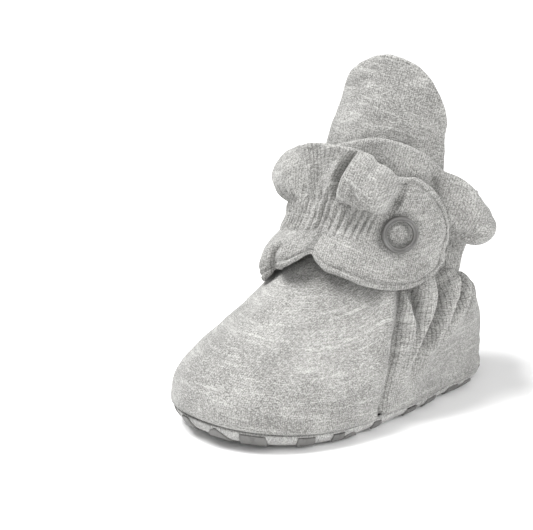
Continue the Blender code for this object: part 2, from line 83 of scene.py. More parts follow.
TONGUE_TURN_HEIGHT = 24.0 * MM
TONGUE_ROUNDNESS = 2.15
FLAP_RADIUS = 28.4 * MM
FLAP_RISE_TURN = math.radians(40.0)
FLAP_END = math.radians(90.5)     # the cloth's end draws back a little from the CAD's
FLAP_ROUNDNESS = 2.05
FLAP_ROUND_STARTS = math.radians(54.0)
FLAP_ROUND_STOPS = 0.985
FLAP_MIDDLE = 1.5 * MM
SNAP_AZIMUTH = math.radians(60.7)
SNAP_HEIGHT = 2.5 * MM
SNAP_OUTER = 5.4 * MM
SNAP_INNER = 3.55 * MM
SNAP_RISE = 1.2 * MM
OUTLINE_STEPS = 1440

Width = namedtuple("Width", "along half")
WIDTHS = [
    Width(0, BALL_HALF_WIDTH), Width(0.355, BALL_HALF_WIDTH), Width(0.62, WAIST_HALF_WIDTH),
    Width(0.78, HEEL_HALF_WIDTH), Width(1, HEEL_HALF_WIDTH),
]
TOE_ROUND_ENDS = 0.355
TOE_ROUNDNESS = 2.2
HEEL_ROUND_STARTS = 0.78
HEEL_ROUNDNESS = 2.3

Meridian = namedtuple("Meridian", "share rise swell drop reach")
MERIDIANS = [
    Meridian(0, 13.5, 9.6, 14, 10.8), Meridian(0.22, 10.5, 8.6, 15, 6),
    Meridian(0.44, 12.5, 4.5, 11, 3.4), Meridian(0.7, 13, 0, 5.6, 11.6),
    Meridian(0.86, 13, -0.2, 5.4, 11.6), Meridian(1, 13, -0.2, 7.4, 8.4),
]
Roll = namedtuple("Roll", "inset height")
SOLE_ROLL = [Roll(0.9, 4.5), Roll(1.1, 3.6), Roll(2.0, 2.2), Roll(3.3, 1.1), Roll(5.4, 0.5)]

# Where the side seams run, as a share of one turn from the toe
SEAM_TURN = 0.2308

# Gathers of the flap and of the ankle band: heights of their lower and upper line, in mm
Gather = namedtuple("Gather", "azimuth foot top")
FLAP_GATHERS = [
    Gather(-68, -6.8, 3.2), Gather(-52, -6.4, 2.4), Gather(-40, -6, 2.2), Gather(-12, -5.4, 4),
    Gather(8, -3.6, 6), Gather(26, -3.2, 6.8), Gather(42, -1.6, 6.8), Gather(56, -1.2, 7),
    Gather(93, -1, 6),
]
BAND_GATHERS = [
    Gather(-20, -8, 8.2), Gather(60, -8.6, 8), Gather(88, -6.6, 6), Gather(104, -6.4, 5),
    Gather(120, -6.4, 5.6), Gather(180, -6.8, 7.4), Gather(240, -6.8, 6.6), Gather(276, -6.8, 4.4),
    Gather(292, -6.8, 3.2),
]

# Flap below its gathers: its free edge stands out and hangs lower where it puckers.
# All in mm from the flap's radius; heights are along the ankle's axis.
Strip = namedtuple("Strip", "azimuth edge_out edge_height belly_out")
FLAP_STRIP = [
    Strip(-68, 0.8, -12.6, 0.8), Strip(-54, 1.4, -17.4, 2.8), Strip(-44, 1.5, -19.6, 4.4),
    Strip(-34, 1.4, -20.8, 5), Strip(-26, 1.6, -21.4, 5.3), Strip(-20, 2.4, -20.8, 5.5),
    Strip(-14.5, 1.8, -18.6, 4.6), Strip(-10, 0.9, -17, 3.6), Strip(-5, 2.6, -16, 4.4),
    Strip(-1, 4.2, -15.4, 5.4), Strip(4, 4.4, -14.6, 5.6), Strip(8, 3.9, -12.8, 5),
    Strip(12, 2.9, -10.6, 3.8), Strip(15.5, 1.7, -9.5, 2.4), Strip(19, 1.3, -11, 1.8),
    Strip(24, 1.3, -12.3, 1.7), Strip(31, 1.3, -12.7, 1.6), Strip(38, 1.2, -13, 1.5),
    Strip(49, 1, -13.6, 1.3), Strip(60, 0.8, -13.4, 1), Strip(76, 1, -13.3, 1),
    Strip(93, 0.5, -13.2, 0.4),
]

# Frills: a curve from the gathers' upper line, first to foot, then body, then the free edge,
# in mm outwards and upwards from that line; lean turns the free edge, in degrees.
Frill = namedtuple("Frill", "azimuth foot_out foot_up body_out body_up edge_out edge_up lean")
FLAP_FRILL = [
    Frill(-68, 1.2, 3.2, 2.4, 7, 3.4, 10.2, 0), Frill(-56, 4.6, 2.8, 6, 8.6, 2.8, 13.4, -2),
    Frill(-46, 8.2, 2.2, 9.4, 10.4, 1.6, 16.4, -4), Frill(-36, 8.6, 2.2, 9.4, 11.2, 1.4, 16.8, -6),
    Frill(-26, 7.2, 2.4, 7.6, 11, 1.2, 15.6, -9), Frill(-17, 5.6, 3, 5.6, 10.4, 1.6, 14.2, -12),
    Frill(-9, 1, 4, 0.4, 9, 0, 12.8, -13), Frill(-4, -2.2, 4.4, -2.6, 9, -1.4, 12, -12),
    Frill(-0.5, 2.8, 3.8, 3.8, 9.2, 4.6, 12.7, -9), Frill(3, 3.2, 3.6, 3.8, 9.8, 5.2, 13.7, -6.5),
    Frill(7, 1.4, 3.8, 1.8, 10, 4.4, 14.4, -1), Frill(10, 1.4, 3.8, 1.8, 10, 3.8, 14.7, 5),
    Frill(13, 3.2, 4, 3.2, 10, 2.4, 15.1, 7), Frill(16.5, -0.2, 4.4, -0.6, 10, 0.6, 14.9, 7),
    Frill(18.5, 0, 4, 0.4, 9, 0.8, 15, 6.5), Frill(22, 5.4, 0.6, 6.2, 8, 2.6, 15.2, 4.5),
    Frill(26, 7.4, -0.8, 8, 8.2, 3.4, 15.2, 3.5), Frill(32, 8.6, -2.2, 9.4, 8, 3.6, 14.7, 3),
    Frill(38, 10, -3, 9.4, 7.4, 3, 13.7, 2.5), Frill(44, 9, -3.2, 7.6, 6.6, 2.2, 12.1, 2.5),
    Frill(48.5, 5.2, -0.6, 4.6, 6.4, 1.6, 10.7, 3), Frill(52, 0.6, 3, -0.2, 6.6, 0.2, 10.6, 3.5),
    Frill(56, 1.8, 3.4, 1.4, 7.2, 0.8, 11.6, 3), Frill(64, 1.3, 4, 1.4, 8, 0.8, 12, 1),
    Frill(76, 0.6, 4, 0.8, 8, 0.8, 12.2, 0), Frill(93, 0, 4, 0.2, 8, 0.2, 12.2, 0),
]
BAND_FRILL = [
    Frill(-20, 0.4, 3, 0.8, 6, 1, 9, 0), Frill(8, 0.4, 4, 0.6, 9, 1, 13.6, 0),
    Frill(22, 0.6, 5, 0.8, 11, 1.4, 16.2, 0), Frill(31, 0.6, 6, 0.8, 12, 2.2, 17.6, 0),
    Frill(41, 0.5, 6, 0.6, 12, 2, 18.3, 0), Frill(53, 0.5, 6, 0.6, 12, 1.6, 18.3, 0),
    Frill(66, 0.6, 6, 0.4, 11, 1, 17.4, 0), Frill(78, 0.2, 5, -0.6, 10, 0.2, 15.8, 0),
    Frill(88, 3.4, 3, 3.6, 9.4, 3.2, 16, 0), Frill(96, 8.2, 1, 9.2, 9.8, 6, 14.9, 1),
    Frill(104, 11.8, -1.4, 13, 8.2, 7.8, 11.6, 2), Frill(111, 11.4, -1.6, 12.8, 6.6, 8.8, 9, 2),
    Frill(118, 6.8, 0, 7.6, 6.8, 5.6, 9.6, 1),
    Frill(126, 0.4, 4, 1, 8, 1.4, 10.8, 0), Frill(134, 4, 2.6, 4.4, 8, 2.2, 10.8, 0),
    Frill(144, 7.2, 0.6, 8, 7.6, 3.4, 10.6, 0), Frill(153, 3, 3.4, 3.4, 8, 2.6, 11.2, 0),
    Frill(161, 0.6, 4.4, 1.2, 8.6, 1.8, 12.2, 0), Frill(171, 5.4, 2, 6.6, 8.8, 4.6, 13, 0),
    Frill(181, 7.6, 0.8, 8.8, 8.6, 6.4, 13.2, 0), Frill(190, 1.6, 4, 2.4, 9, 3.4, 13.4, 0),
    Frill(199, 0.8, 4.4, 2, 9, 3.2, 13.6, 0), Frill(210, 7.4, 0.8, 8.8, 8.6, 5.8, 13.2, 0),
    Frill(220, 5.6, 2, 6.4, 8.8, 5.2, 13, 0), Frill(229, 0.2, 4.4, 1.2, 9, 2.4, 13.2, 0),
    Frill(240, 5.8, 1.8, 7, 8.6, 5.6, 12.8, 0), Frill(251, 6.2, 1.6, 7.2, 8.4, 5.2, 12.6, 0),
    Frill(261, 0.4, 4.2, 1.2, 8.6, 2.2, 12.4, 0), Frill(272, 4.8, 2, 5.8, 8, 4.4, 12, 0),
    Frill(283, 4.4, 2, 5, 7.6, 4, 11.4, 0), Frill(292, 1.2, 3.2, 2.4, 7, 3.4, 10.2, 0),
]

# Folds drawn on the cloth as lines of spots: place across and up in the cloth's
# own measures, rise in mm (a hollow is negative), width in mm.
Spot = namedtuple("Spot", "across up rise width")
QUARTER_FOLDS = [
    [Spot(0.2342, 0.99, 0.6, 1.6), Spot(0.235, 0.86, 1, 1.6), Spot(0.244, 0.71, 1.3, 1.7),
     Spot(0.2525, 0.588, 1.4, 1.9), Spot(0.25, 0.475, 1.1, 2), Spot(0.244, 0.34, 0.5, 2.2),
     Spot(0.24, 0.22, 0, 2.4)],
    [Spot(0.244, 0.97, -2.2, 1.3), Spot(0.249, 0.84, -2.6, 1.4), Spot(0.257, 0.72, -2.4, 1.4),
     Spot(0.262, 0.62, -2, 1.4), Spot(0.26, 0.52, -1.5, 1.5), Spot(0.254, 0.42, -1.1, 1.6),
     Spot(0.248, 0.32, -0.6, 1.8), Spot(0.244, 0.2, 0, 2)],
    [Spot(0.265, 1, 1.4, 2.4), Spot(0.2733, 0.9, 2, 2.8), Spot(0.277, 0.775, 2.3, 3),
     Spot(0.275, 0.663, 2.3, 3), Spot(0.267, 0.52, 1.9, 3), Spot(0.261, 0.4, 1.2, 3),
     Spot(0.259, 0.28, 0.6, 3), Spot(0.258, 0.16, 0, 3)],
    [Spot(0.296, 1, -2.4, 1.5), Spot(0.296, 0.86, -2.7, 1.6), Spot(0.293, 0.713, -2.6, 1.6),
     Spot(0.283, 0.569, -2, 1.7), Spot(0.276, 0.425, -1.4, 1.8), Spot(0.272, 0.306, -0.8, 1.9),
     Spot(0.27, 0.16, 0, 2)],
    [Spot(0.318, 1, 1.2, 2), Spot(0.32, 0.88, 1.7, 2.2), Spot(0.315, 0.76, 1.9, 2.3),
     Spot(0.306, 0.631, 1.7, 2.3), Spot(0.298, 0.5, 1.3, 2.4), Spot(0.293, 0.363, 0.8, 2.5),
     Spot(0.293, 0.2, 0, 2.6)],
    [Spot(0.34, 1, -1.9, 1.4), Spot(0.337, 0.86, -2.1, 1.5), Spot(0.329, 0.731, -1.9, 1.6),
     Spot(0.318, 0.562, -1.2, 1.8), Spot(0.313, 0.413, -0.6, 2), Spot(0.314, 0.25, 0, 2.2)],
    [Spot(0.356, 1, 1.1, 1.9), Spot(0.354, 0.87, 1.4, 2), Spot(0.345, 0.72, 1.2, 2.2),
     Spot(0.336, 0.56, 0.6, 2.4), Spot(0.332, 0.42, 0, 2.6)],
    [Spot(0.374, 1, -1.6, 1.4), Spot(0.372, 0.88, -1.7, 1.5), Spot(0.365, 0.76, -1.2, 1.7),
     Spot(0.356, 0.62, -0.5, 1.9), Spot(0.353, 0.5, 0, 2)],
]

# Elastic ribs
RIBS_IN_TURN = 84
RIB_DEPTH = 1.25
RIB_LEAN = math.radians(3.4)
FOLD_DEPTH = 1.8

# Gripper dots
DotSize = namedtuple("DotSize", "radius count")
DOT_SIZES = [DotSize(4.0, 17), DotSize(2.7, 24), DotSize(1.7, 26)]
Place = namedtuple("Place", "x y")
REST_DOTS = [Place(0, 0), Place(0, 28), Place(0, -16)]
DOT_TRIALS = 260
DOT_SEED = 11
DOT_EDGE = 2.6 * MM
DOT_SHOWN = 0.45
DOT_GAP = 0.8 * MM


def curve_through(rows, column, key):
    """A smooth curve through the rows' column, read at key; level beyond both ends."""
    xs = np.array([row[0] for row in rows], float)
    ys = np.array([getattr(row, column) for row in rows], float)
    slopes = np.zeros(len(xs))
    slopes[1:-1] = (ys[2:] - ys[:-2]) / (xs[2:] - xs[:-2])
    key = np.clip(np.asarray(key, float), xs[0], xs[-1])
    i = np.clip(np.searchsorted(xs, key, side="right") - 1, 0, len(xs) - 2)
    span = xs[i + 1] - xs[i]
    t = (key - xs[i]) / span
    return ((1 + 2 * t) * (1 - t) ** 2 * ys[i] + t * (1 - t) ** 2 * span * slopes[i]
            + t * t * (3 - 2 * t) * ys[i + 1] + t * t * (t - 1) * span * slopes[i + 1])


def ease(t):
    t = np.clip(t, 0.0, 1.0)
    return t * t * (3 - 2 * t)


def nearest(values, wanted):
    return int(np.argmin(np.abs(values - wanted)))


def hill(x, middle, width):
    """A smooth hill of height 1 round the middle."""
    return np.exp(-((x - middle) / width) ** 2)


def unit(v):
    return v / np.maximum(np.linalg.norm(v, axis=-1, keepdims=True), 1e-12)


def waves(seed, count, low, high, *coordinates):
    """Soft seeded noise of about unit height: a sum of plane waves over the coordinates."""
    draw = random.Random(seed)
    total = 0.0
    for _ in range(count):
        size = draw.uniform(low, high)
        heading = draw.uniform(0, 2 * math.pi)
        steps = (math.cos(heading), math.sin(heading), 0.0)
        along = sum(c * s for c, s in zip(coordinates, steps))
        total = total + np.sin(along * 2 * math.pi / size + draw.uniform(0, 2 * math.pi))
    return total / math.sqrt(count)


# Outline of the foot, as in the CAD source
def outline():
    turn = np.linspace(0.0, 2 * math.pi, OUTLINE_STEPS + 1)
    along = (1 - np.cos(turn)) / 2
    half = curve_through(WIDTHS, "half", along)
    toe = np.clip((TOE_ROUND_ENDS - along) / TOE_ROUND_ENDS, 0, 1)
    heel = np.clip((along - HEEL_ROUND_STARTS) / (1 - HEEL_ROUND_STARTS), 0, 1)
    half = half * (1 - toe ** TOE_ROUNDNESS) ** (1 / TOE_ROUNDNESS)
    half = half * (1 - heel ** HEEL_ROUNDNESS) ** (1 / HEEL_ROUNDNESS)
    x = half * np.sign(np.sin(turn)) + OUTLINE_BOW * (1 - (2 * along - 1) ** 2)
    y = (along - 0.5) * SOLE_LENGTH
    run = np.concatenate([[0.0], np.cumsum(np.hypot(np.diff(x), np.diff(y)))])
    return x, y, run / run[-1], run[-1]


OUTLINE_X, OUTLINE_Y, OUTLINE_RUN, GIRTH = outline()


def foot_plan(turn):
    turn = np.asarray(turn, float)

    def read(share):
        share = share % 1.0
        x = np.interp(share, OUTLINE_RUN, OUTLINE_X)
        return np.stack([x, np.interp(share, OUTLINE_RUN, OUTLINE_Y)], -1)

    step = 0.004
    tangent = read(turn + step) - read(turn - step)
    tangent /= np.linalg.norm(tangent, axis=-1, keepdims=True)
    return read(turn), np.stack([tangent[..., 1], -tangent[..., 0]], -1)


def lift(y):
    """Toe spring and heel lift of the sole."""
    toe = np.clip((SPRING_STARTS - y) / (SOLE_LENGTH / 2 + SPRING_STARTS), 0, None)
    heel = np.clip((y - LIFT_STARTS) / (SOLE_LENGTH / 2 - LIFT_STARTS), 0, None)
    return TOE_SPRING * toe ** 2 + HEEL_LIFT * heel ** 2


def rim_height(y):
    along = np.clip(y / SOLE_LENGTH + 0.5, 0, 1)
    return RIM_TOE + (RIM_HEEL - RIM_TOE) * along + lift(y)


def inset_of(x, y):
    """How far inside the outline a point in plan lies, negative outside."""
    gap = np.hypot(OUTLINE_X - x, OUTLINE_Y - y)
    i = int(np.argmin(gap))
    ahead = (i + 1) % OUTLINE_STEPS
    behind = (i - 1) % OUTLINE_STEPS
    tx, ty = OUTLINE_X[ahead] - OUTLINE_X[behind], OUTLINE_Y[ahead] - OUTLINE_Y[behind]
    outward = (x - OUTLINE_X[i]) * ty - (y - OUTLINE_Y[i]) * tx
    return -math.copysign(gap[i], outward)


def underside(inset, y):
    """Height of the sole panel's underside."""
    shape = curve_through(SOLE_ROLL, "height", inset / MM) * MM
    base = SOLE_ROLL[-1].height * MM
    top = SOLE_ROLL[0].height * MM
    return base + (shape - base) * (rim_height(y) - lift(y) - base) / (top - base) + lift(y)


def ankle_point(azimuth, radius, height):
    across = ANKLE_ACROSS * radius * np.sin(azimuth)
    back = -ANKLE_ALONG * radius * np.cos(azimuth)
    y = ANKLE_Y + back * math.cos(ANKLE_TILT) + height * math.sin(ANKLE_TILT)
    z = ANKLE_Z - back * math.sin(ANKLE_TILT) + height * math.cos(ANKLE_TILT)
    return np.stack(np.broadcast_arrays(across, y, z), -1)


def share_of(turn):
    turn = np.asarray(turn, float) % 1.0
    return np.where(turn <= 0.5, 2 * turn, 2 * (1 - turn))


def azimuth_of(turn):
    """Azimuth round the ankle that a share of the foot's outline leads up to."""
    spread = math.log(SEAM_AZIMUTH / math.pi) / math.log(SEAM_SHARE)
    side = np.where(np.asarray(turn) % 1.0 <= 0.5, 1.0, -1.0)
    return side * math.pi * share_of(turn) ** spread


def throat_radius(azimuth):
    tuck = ease((SEAM_AZIMUTH - np.abs(azimuth)) / TUCK_TURN)
    return ANKLE_RADIUS - (ANKLE_RADIUS - TONGUE_RADIUS) * tuck


def body_point(turn, level):
    """Outer surface from the sole seam, level 0, to the foot of the gathers, level 1."""
    plan, out = foot_plan(turn)
    share = share_of(turn)
    azimuth = azimuth_of(turn)
    rise, swell, drop, reach = (
        curve_through(MERIDIANS, name, share) * MM for name in Meridian._fields[1:])
    seam = (rim_height(plan[..., 1]) + CLEAR)[..., None]
    foot = np.concatenate([plan - out * SEAM_INSET, seam], -1)
    top = ankle_point(azimuth, throat_radius(azimuth), GATHER_FOOT)
    radial = np.stack([np.sin(azimuth), -np.cos(azimuth)], -1)
    low = foot + np.concatenate([out * swell[..., None], rise[..., None]], -1)
    high = top + np.concatenate([radial * reach[..., None], -drop[..., None]], -1)
    k = np.asarray(level, float)[:, None, None]
    skin = (1 - k) ** 3 * foot + 3 * (1 - k) ** 2 * k * low
    return skin + 3 * (1 - k) * k ** 2 * high + k ** 3 * top


# Cloth from grids
def grid_normals(points):
    """Outward normals of a grid whose rows run up and columns run towards +azimuth."""
    across = np.gradient(points, axis=1)
    up = np.gradient(points, axis=0)
    return unit(np.cross(across, up))


def stroke(points, spots, at):
    """Rise over the points from one drawn line of spots, in mm."""
    anchors = np.stack([at(s.across, s.up) for s in spots])
    lift_mm = np.zeros(points.shape[:-1])
    best = np.full(points.shape[:-1], 1e9)
    for i in range(len(spots) - 1):
        a, b = anchors[i], anchors[i + 1]
        run = b - a
        t = np.clip(((points - a) @ run) / max(run @ run, 1e-12), 0, 1)
        gap = np.linalg.norm(points - (a + t[..., None] * run), axis=-1) / MM
        rise = spots[i].rise + (spots[i + 1].rise - spots[i].rise) * t
        width = spots[i].width + (spots[i + 1].width - spots[i].width) * t
        nearer = gap < best
        lift_mm = np.where(nearer, rise * hill(gap, 0, width), lift_mm)
        best = np.where(nearer, gap, best)
    return lift_mm


RIM_STEPS = 4


def cloth(name, outer, inner, lengths, finish, mask=None):
    """A closed piece of cloth between two grids, with rounded edges.

    Lengths gives each grid point's place in the flat cloth, for the knit.
    """
    rows, columns = outer.shape[:2]
    cells = np.ones((rows - 1, columns - 1), bool) if mask is None else mask
    index = np.arange(rows * columns).reshape(rows, columns)
    quads = np.stack([index[:-1, :-1], index[:-1, 1:], index[1:, 1:], index[1:, :-1]], -1)[cells]
    used = np.unique(quads)
    small = np.full(rows * columns, -1)
    small[used] = np.arange(len(used))
    quads = small[quads]
    top = outer.reshape(-1, 3)[used]
    low = inner.reshape(-1, 3)[used]
    flat = np.concatenate([lengths.reshape(-1, 2)[used], np.zeros((len(used), 1))], 1)
    count = len(used)
    edges = dict.fromkeys((int(q[i]), int(q[(i + 1) % 4])) for q in quads for i in range(4))
    border = [(a, b) for a, b in edges if (b, a) not in edges]
    normal = unit(top - low)
    away = np.zeros_like(top)
    for a, b in border:
        out = np.cross(top[b] - top[a], normal[a])
        out /= max(np.linalg.norm(out), 1e-12)
        away[a] += out
        away[b] += out
    away = unit(away)
    over = np.linalg.norm(top - low, axis=-1)[:, None] * math.pi / 2
    flat_low = np.concatenate([flat[:, :2], over], 1)
    ring = {}
    extra, extra_flat = [], []
    for a in sorted({v for edge in border for v in edge}):
        middle = (top[a] + low[a]) / 2
        half = (top[a] - low[a]) / 2
        size = np.linalg.norm(half)
        ring[a] = [a]
        for step in range(1, RIM_STEPS):
            angle = math.pi * step / RIM_STEPS
            extra.append(middle + half * math.cos(angle) + away[a] * size * math.sin(angle))
            extra_flat.append(flat[a] + (0.0, 0.0, size * angle))
            ring[a].append(2 * count + len(extra) - 1)
        ring[a].append(count + a)
    faces = quads.tolist() + (quads[:, ::-1] + count).tolist()
    for a, b in border:
        for step in range(RIM_STEPS):
            faces.append([ring[b][step], ring[a][step], ring[a][step + 1], ring[b][step + 1]])
    points = np.concatenate([top, low, np.array(extra)])
    flat = np.concatenate([flat, flat_low, np.array(extra_flat)])
    made = add_mesh(name, points, faces, finish)
    lay_flat(made, flat / MM)
    return made


def lay_flat(made, flat_mm):
    """Keep each point's place in the flat cloth, which the knit follows."""
    place = made.data.attributes.new("cloth", "FLOAT_VECTOR", "POINT")
    place.data.foreach_set("vector", np.asarray(flat_mm, np.float32).ravel())


def add_mesh(name, points, faces, finish):
    mesh = bpy.data.meshes.new(name)
    mesh.from_pydata(np.asarray(points, float).tolist(), [], faces)
    mesh.update()
    made = bpy.data.objects.new(name, mesh)
    bpy.context.collection.objects.link(made)
    mesh.materials.append(finish)
    mesh.shade_smooth()
    return made


def flat_lengths(points):
    """Length run along each row from its middle column, and up each column."""
    across = np.linalg.norm(np.diff(points, axis=1), axis=-1)
    across = np.concatenate([np.zeros((len(points), 1)), np.cumsum(across, 1)], 1)
    across = across - across[:, [across.shape[1] // 2]]
    up = np.linalg.norm(np.diff(points, axis=0), axis=-1)
    up = np.concatenate([np.zeros((1, points.shape[1])), np.cumsum(up, 0)], 0)
    return np.stack([across, up], -1)


# Materials
def node(tree, kind, **values):
    made = tree.nodes.new(kind)
    for name, value in values.items():
        if hasattr(made, name):
            setattr(made, name, value)
        else:
            made.inputs[name.replace("_", " ")].default_value = value
    return made


def new_material(name, **settings):
    made = bpy.data.materials.new(name)
    made.use_nodes = True
    tree = made.node_tree
    shader = tree.nodes["Principled BSDF"]
    for socket, value in settings.items():
        shader.inputs[socket.replace("_", " ")].default_value = value
    return made, tree, shader


def paint(tree, shader, factor, *stops):
    """Base colour from a ramp of two stops, each a position and a colour."""
    ramp = node(tree, "ShaderNodeValToRGB")
    for element, (position, colour) in zip(ramp.color_ramp.elements, stops):
        element.position = position
        element.color = (*colour, 1.0)
    tree.links.new(factor, ramp.inputs["Fac"])
    tree.links.new(ramp.outputs["Color"], shader.inputs["Base Color"])


def relief(tree, shader, height, distance, strength):
    bump = node(tree, "ShaderNodeBump", Distance=distance, Strength=strength)
    tree.links.new(height, bump.inputs["Height"])
    tree.links.new(bump.outputs["Normal"], shader.inputs["Normal"])


# Knit in mm, and the share of each kind of fibre in the tone and in the relief
WALE_PITCH = 0.66
COURSE_PITCH = 0.52
STITCH_LEAN = 1.3
FLECK_TONE, THREAD_TONE, STREAK_TONE, CLOUD_TONE, WEAVE_TONE = 0.42, 0.34, 0.22, 0.14, 0.34
WEAVE_RELIEF, FLECK_RELIEF, NAP_RELIEF = 0.16, 0.12, 0.30
EVEN = (1.0, 1.0, 1.0)


def jersey(name, dark, light, knit):
    """Brushed melange jersey: mixed dark and light fibres, fine wales, a soft nap."""
    made, tree, shader = new_material(
        name, Roughness=0.96, Specular_IOR_Level=0.18, Sheen_Weight=0.18, Sheen_Roughness=0.55)
    link = tree.links.new

    def scaled(source, scale):
        mapping = node(tree, "ShaderNodeMapping", Scale=scale)
        link(source, mapping.inputs["Vector"])
        return mapping.outputs["Vector"]

    def noise(source, size, stretch, detail=3.0, rough=0.6):
        cells = node(tree, "ShaderNodeTexNoise", Scale=size, Detail=detail, Roughness=rough)
        link(scaled(source, stretch), cells.inputs["Vector"])
        return cells.outputs["Fac"]

    def between(value, low, high, to_low=0.0, to_high=1.0):
        ranged = node(tree, "ShaderNodeMapRange", interpolation_type="SMOOTHSTEP",
                      From_Min=low, From_Max=high, To_Min=to_low, To_Max=to_high)
        link(value, ranged.inputs["Value"])
        return ranged.outputs["Result"]

    def maths(operation, *values):
        worked = node(tree, "ShaderNodeMath", operation=operation)
        for socket, value in zip(worked.inputs, values):
            if isinstance(value, (int, float)):
                socket.default_value = value
            else:
                link(value, socket)
        return worked.outputs["Value"]

    def total(*terms):
        """Sum of shares of values."""
        result = 0.0
        for value, share in terms:
            result = maths("ADD", result, maths("MULTIPLY", value, share))
        return result

    flat = node(tree, "ShaderNodeAttribute", attribute_name="cloth").outputs["Vector"]
    around = scaled(node(tree, "ShaderNodeTexCoord").outputs["Object"], (1 / MM, 1 / MM, 1 / MM))
    fleck = between(noise(around, 2.5, EVEN, 2.0, 0.75), 0.34, 0.66)
    thread = between(noise(flat, 1.0, (1.0, 2.9, 2.9), 3.0, 0.7), 0.35, 0.65)
    streak = between(noise(flat, 1.0, (0.09, 0.7, 0.7), 2.0, 0.6), 0.50, 0.72)
    cloud = between(noise(around, 0.11, EVEN, 2.0, 0.5), 0.30, 0.70)

    separate = node(tree, "ShaderNodeSeparateXYZ")
    link(flat, separate.inputs["Vector"])
    wobble = maths("SUBTRACT", noise(flat, 0.7, (1.0, 0.4, 1.0)), 0.5)
    wale = total((separate.outputs["X"], 1 / WALE_PITCH), (wobble, 0.5))
    tooth = maths("ABSOLUTE", maths("SUBTRACT", maths("FRACT", wale), 0.5))
    stitch = total((separate.outputs["Y"], 1 / COURSE_PITCH), (tooth, STITCH_LEAN))
    rows = maths("SINE", maths("MULTIPLY", stitch, 2 * math.pi))
    groove = between(tooth, 0.28, 0.5, 1.0, 0.0)
    weave = total((groove, 0.75), (rows, 0.16))

    tone = total((fleck, FLECK_TONE), (thread, THREAD_TONE), (streak, STREAK_TONE),
                 (cloud, CLOUD_TONE), (weave, WEAVE_TONE * knit))
    tone = maths("SUBTRACT", tone, (CLOUD_TONE + WEAVE_TONE * knit) / 2)
    paint(tree, shader, tone, (0.14, dark), (0.86, light))
    nap = noise(around, 0.55, EVEN)
    height = total((weave, WEAVE_RELIEF * knit), (fleck, FLECK_RELIEF), (nap, NAP_RELIEF))
    relief(tree, shader, height, 1.0 * MM, 0.75)
    return made


def plain(name, colour, roughness, grain, size, coat=0.0):
    """A matt moulded or painted surface with a little uneven tone and texture."""
    made, tree, shader = new_material(
        name, Roughness=roughness, Coat_Weight=coat, Coat_Roughness=0.25)
    speck = node(tree, "ShaderNodeTexNoise", Scale=size, Detail=3.0)
    tree.links.new(node(tree, "ShaderNodeTexCoord").outputs["Object"], speck.inputs["Vector"])
    dark, light = ([c * share for c in colour] for share in (1 - grain, 1 + grain))
    paint(tree, shader, speck.outputs["Fac"], (0.3, dark), (0.7, light))
    relief(tree, shader, speck.outputs["Fac"], 0.2 * MM, 0.15)
    return made


# Vamp
VAMP_COLUMNS = 200
VAMP_ROWS = 96
VAMP_HEIGHT = 52                  # rough length of cloth from sole to throat, in mm
THROAT_HOLLOW = 2.0
NARROWING = 0.38                  # how much narrower the upper is at the throat


def body_at(turn, level):
    return body_point(np.array([turn]), np.array([level]))[0, 0]


def over_sole(up_mm):
    """The upper swells a little over the sole's rim and turns in at the seam itself."""
    return 0.45 * hill(up_mm, 1.8, 1.6) - 0.25 * hill(up_mm, 0, 0.7)


def make_vamp(finish):
    """From side seam to side seam round the toe, a little over the quarters at the seams."""
    turn = np.linspace(-SEAM_TURN, SEAM_TURN, VAMP_COLUMNS)
    level = np.linspace(0, 1, VAMP_ROWS)
    base = body_point(turn, level)
    normal = grid_normals(base)
    level = level[:, None]
    to_seam = (SEAM_TURN - np.abs(turn))[None, :] * GIRTH / MM * (1 - NARROWING * level)
    up_mm = level * VAMP_HEIGHT
    around_mm = turn[None, :] * GIRTH / MM
    puff = hill(to_seam, 5.5, 4.5) * (0.5 + 1.1 * ease(level * 1.4))
    rise = puff * ease((1.0 - level) / 0.12) - 2.0 * hill(to_seam, 0, 1.5)
    hollow = -THROAT_HOLLOW * hill(level, 1.0, 0.10)
    rise = rise + over_sole(up_mm) + hollow
    rise = rise + 0.28 * waves(5, 9, 17, 34, around_mm, up_mm) * ease(up_mm / 8)
    rise = rise + 0.07 * waves(6, 14, 3.5, 8, around_mm, up_mm) * ease(up_mm / 4)
    outer = base + normal * rise[..., None] * MM
    inner = base + normal * (hollow[..., None] * MM - CLOTH)
    return cloth("vamp", outer, inner, flat_lengths(base), finish)


# Quarters with the ankle band, its frill and the under-lap
QUARTER_COLUMNS = 300
QUARTER_HEIGHT = 46
LAP_COLUMNS = 90
LAP_END = math.radians(-20.0)
BAND_SEED = 21
BAND_RIB_SHARE = 1.25             # the band's ribs stand this much higher than the flap's
BACK_CLIMB = 2.8 * MM             # the gathers sit higher behind the side seams
BODY_ROWS = 78
GATHER_ROWS = 30
FRILL_ROWS = 30


def ribs(azimuth, share, seed, lean):
    """Rounded ribs with narrow grooves between them, unevenly spaced."""
    turn = azimuth - lean * (share - 0.5)
    count = RIBS_IN_TURN * turn / (2 * math.pi)
    count = count + 0.34 * waves(seed, 6, 0.35, 0.9, turn)
    count = count + 0.10 * waves(seed + 1, 5, 0.9, 2.2, share, turn * 6)
    ridge = np.abs(np.sin(math.pi * count)) ** 0.7
    strength = 1.0 + 0.25 * waves(seed + 2, 5, 0.12, 0.35, turn)
    return (ridge - 0.62) * strength


def bezier(p0, p1, p2, p3, t):
    return (1 - t) ** 3 * p0 + 3 * (1 - t) ** 2 * t * p1 + 3 * (1 - t) * t ** 2 * p2 + t ** 3 * p3


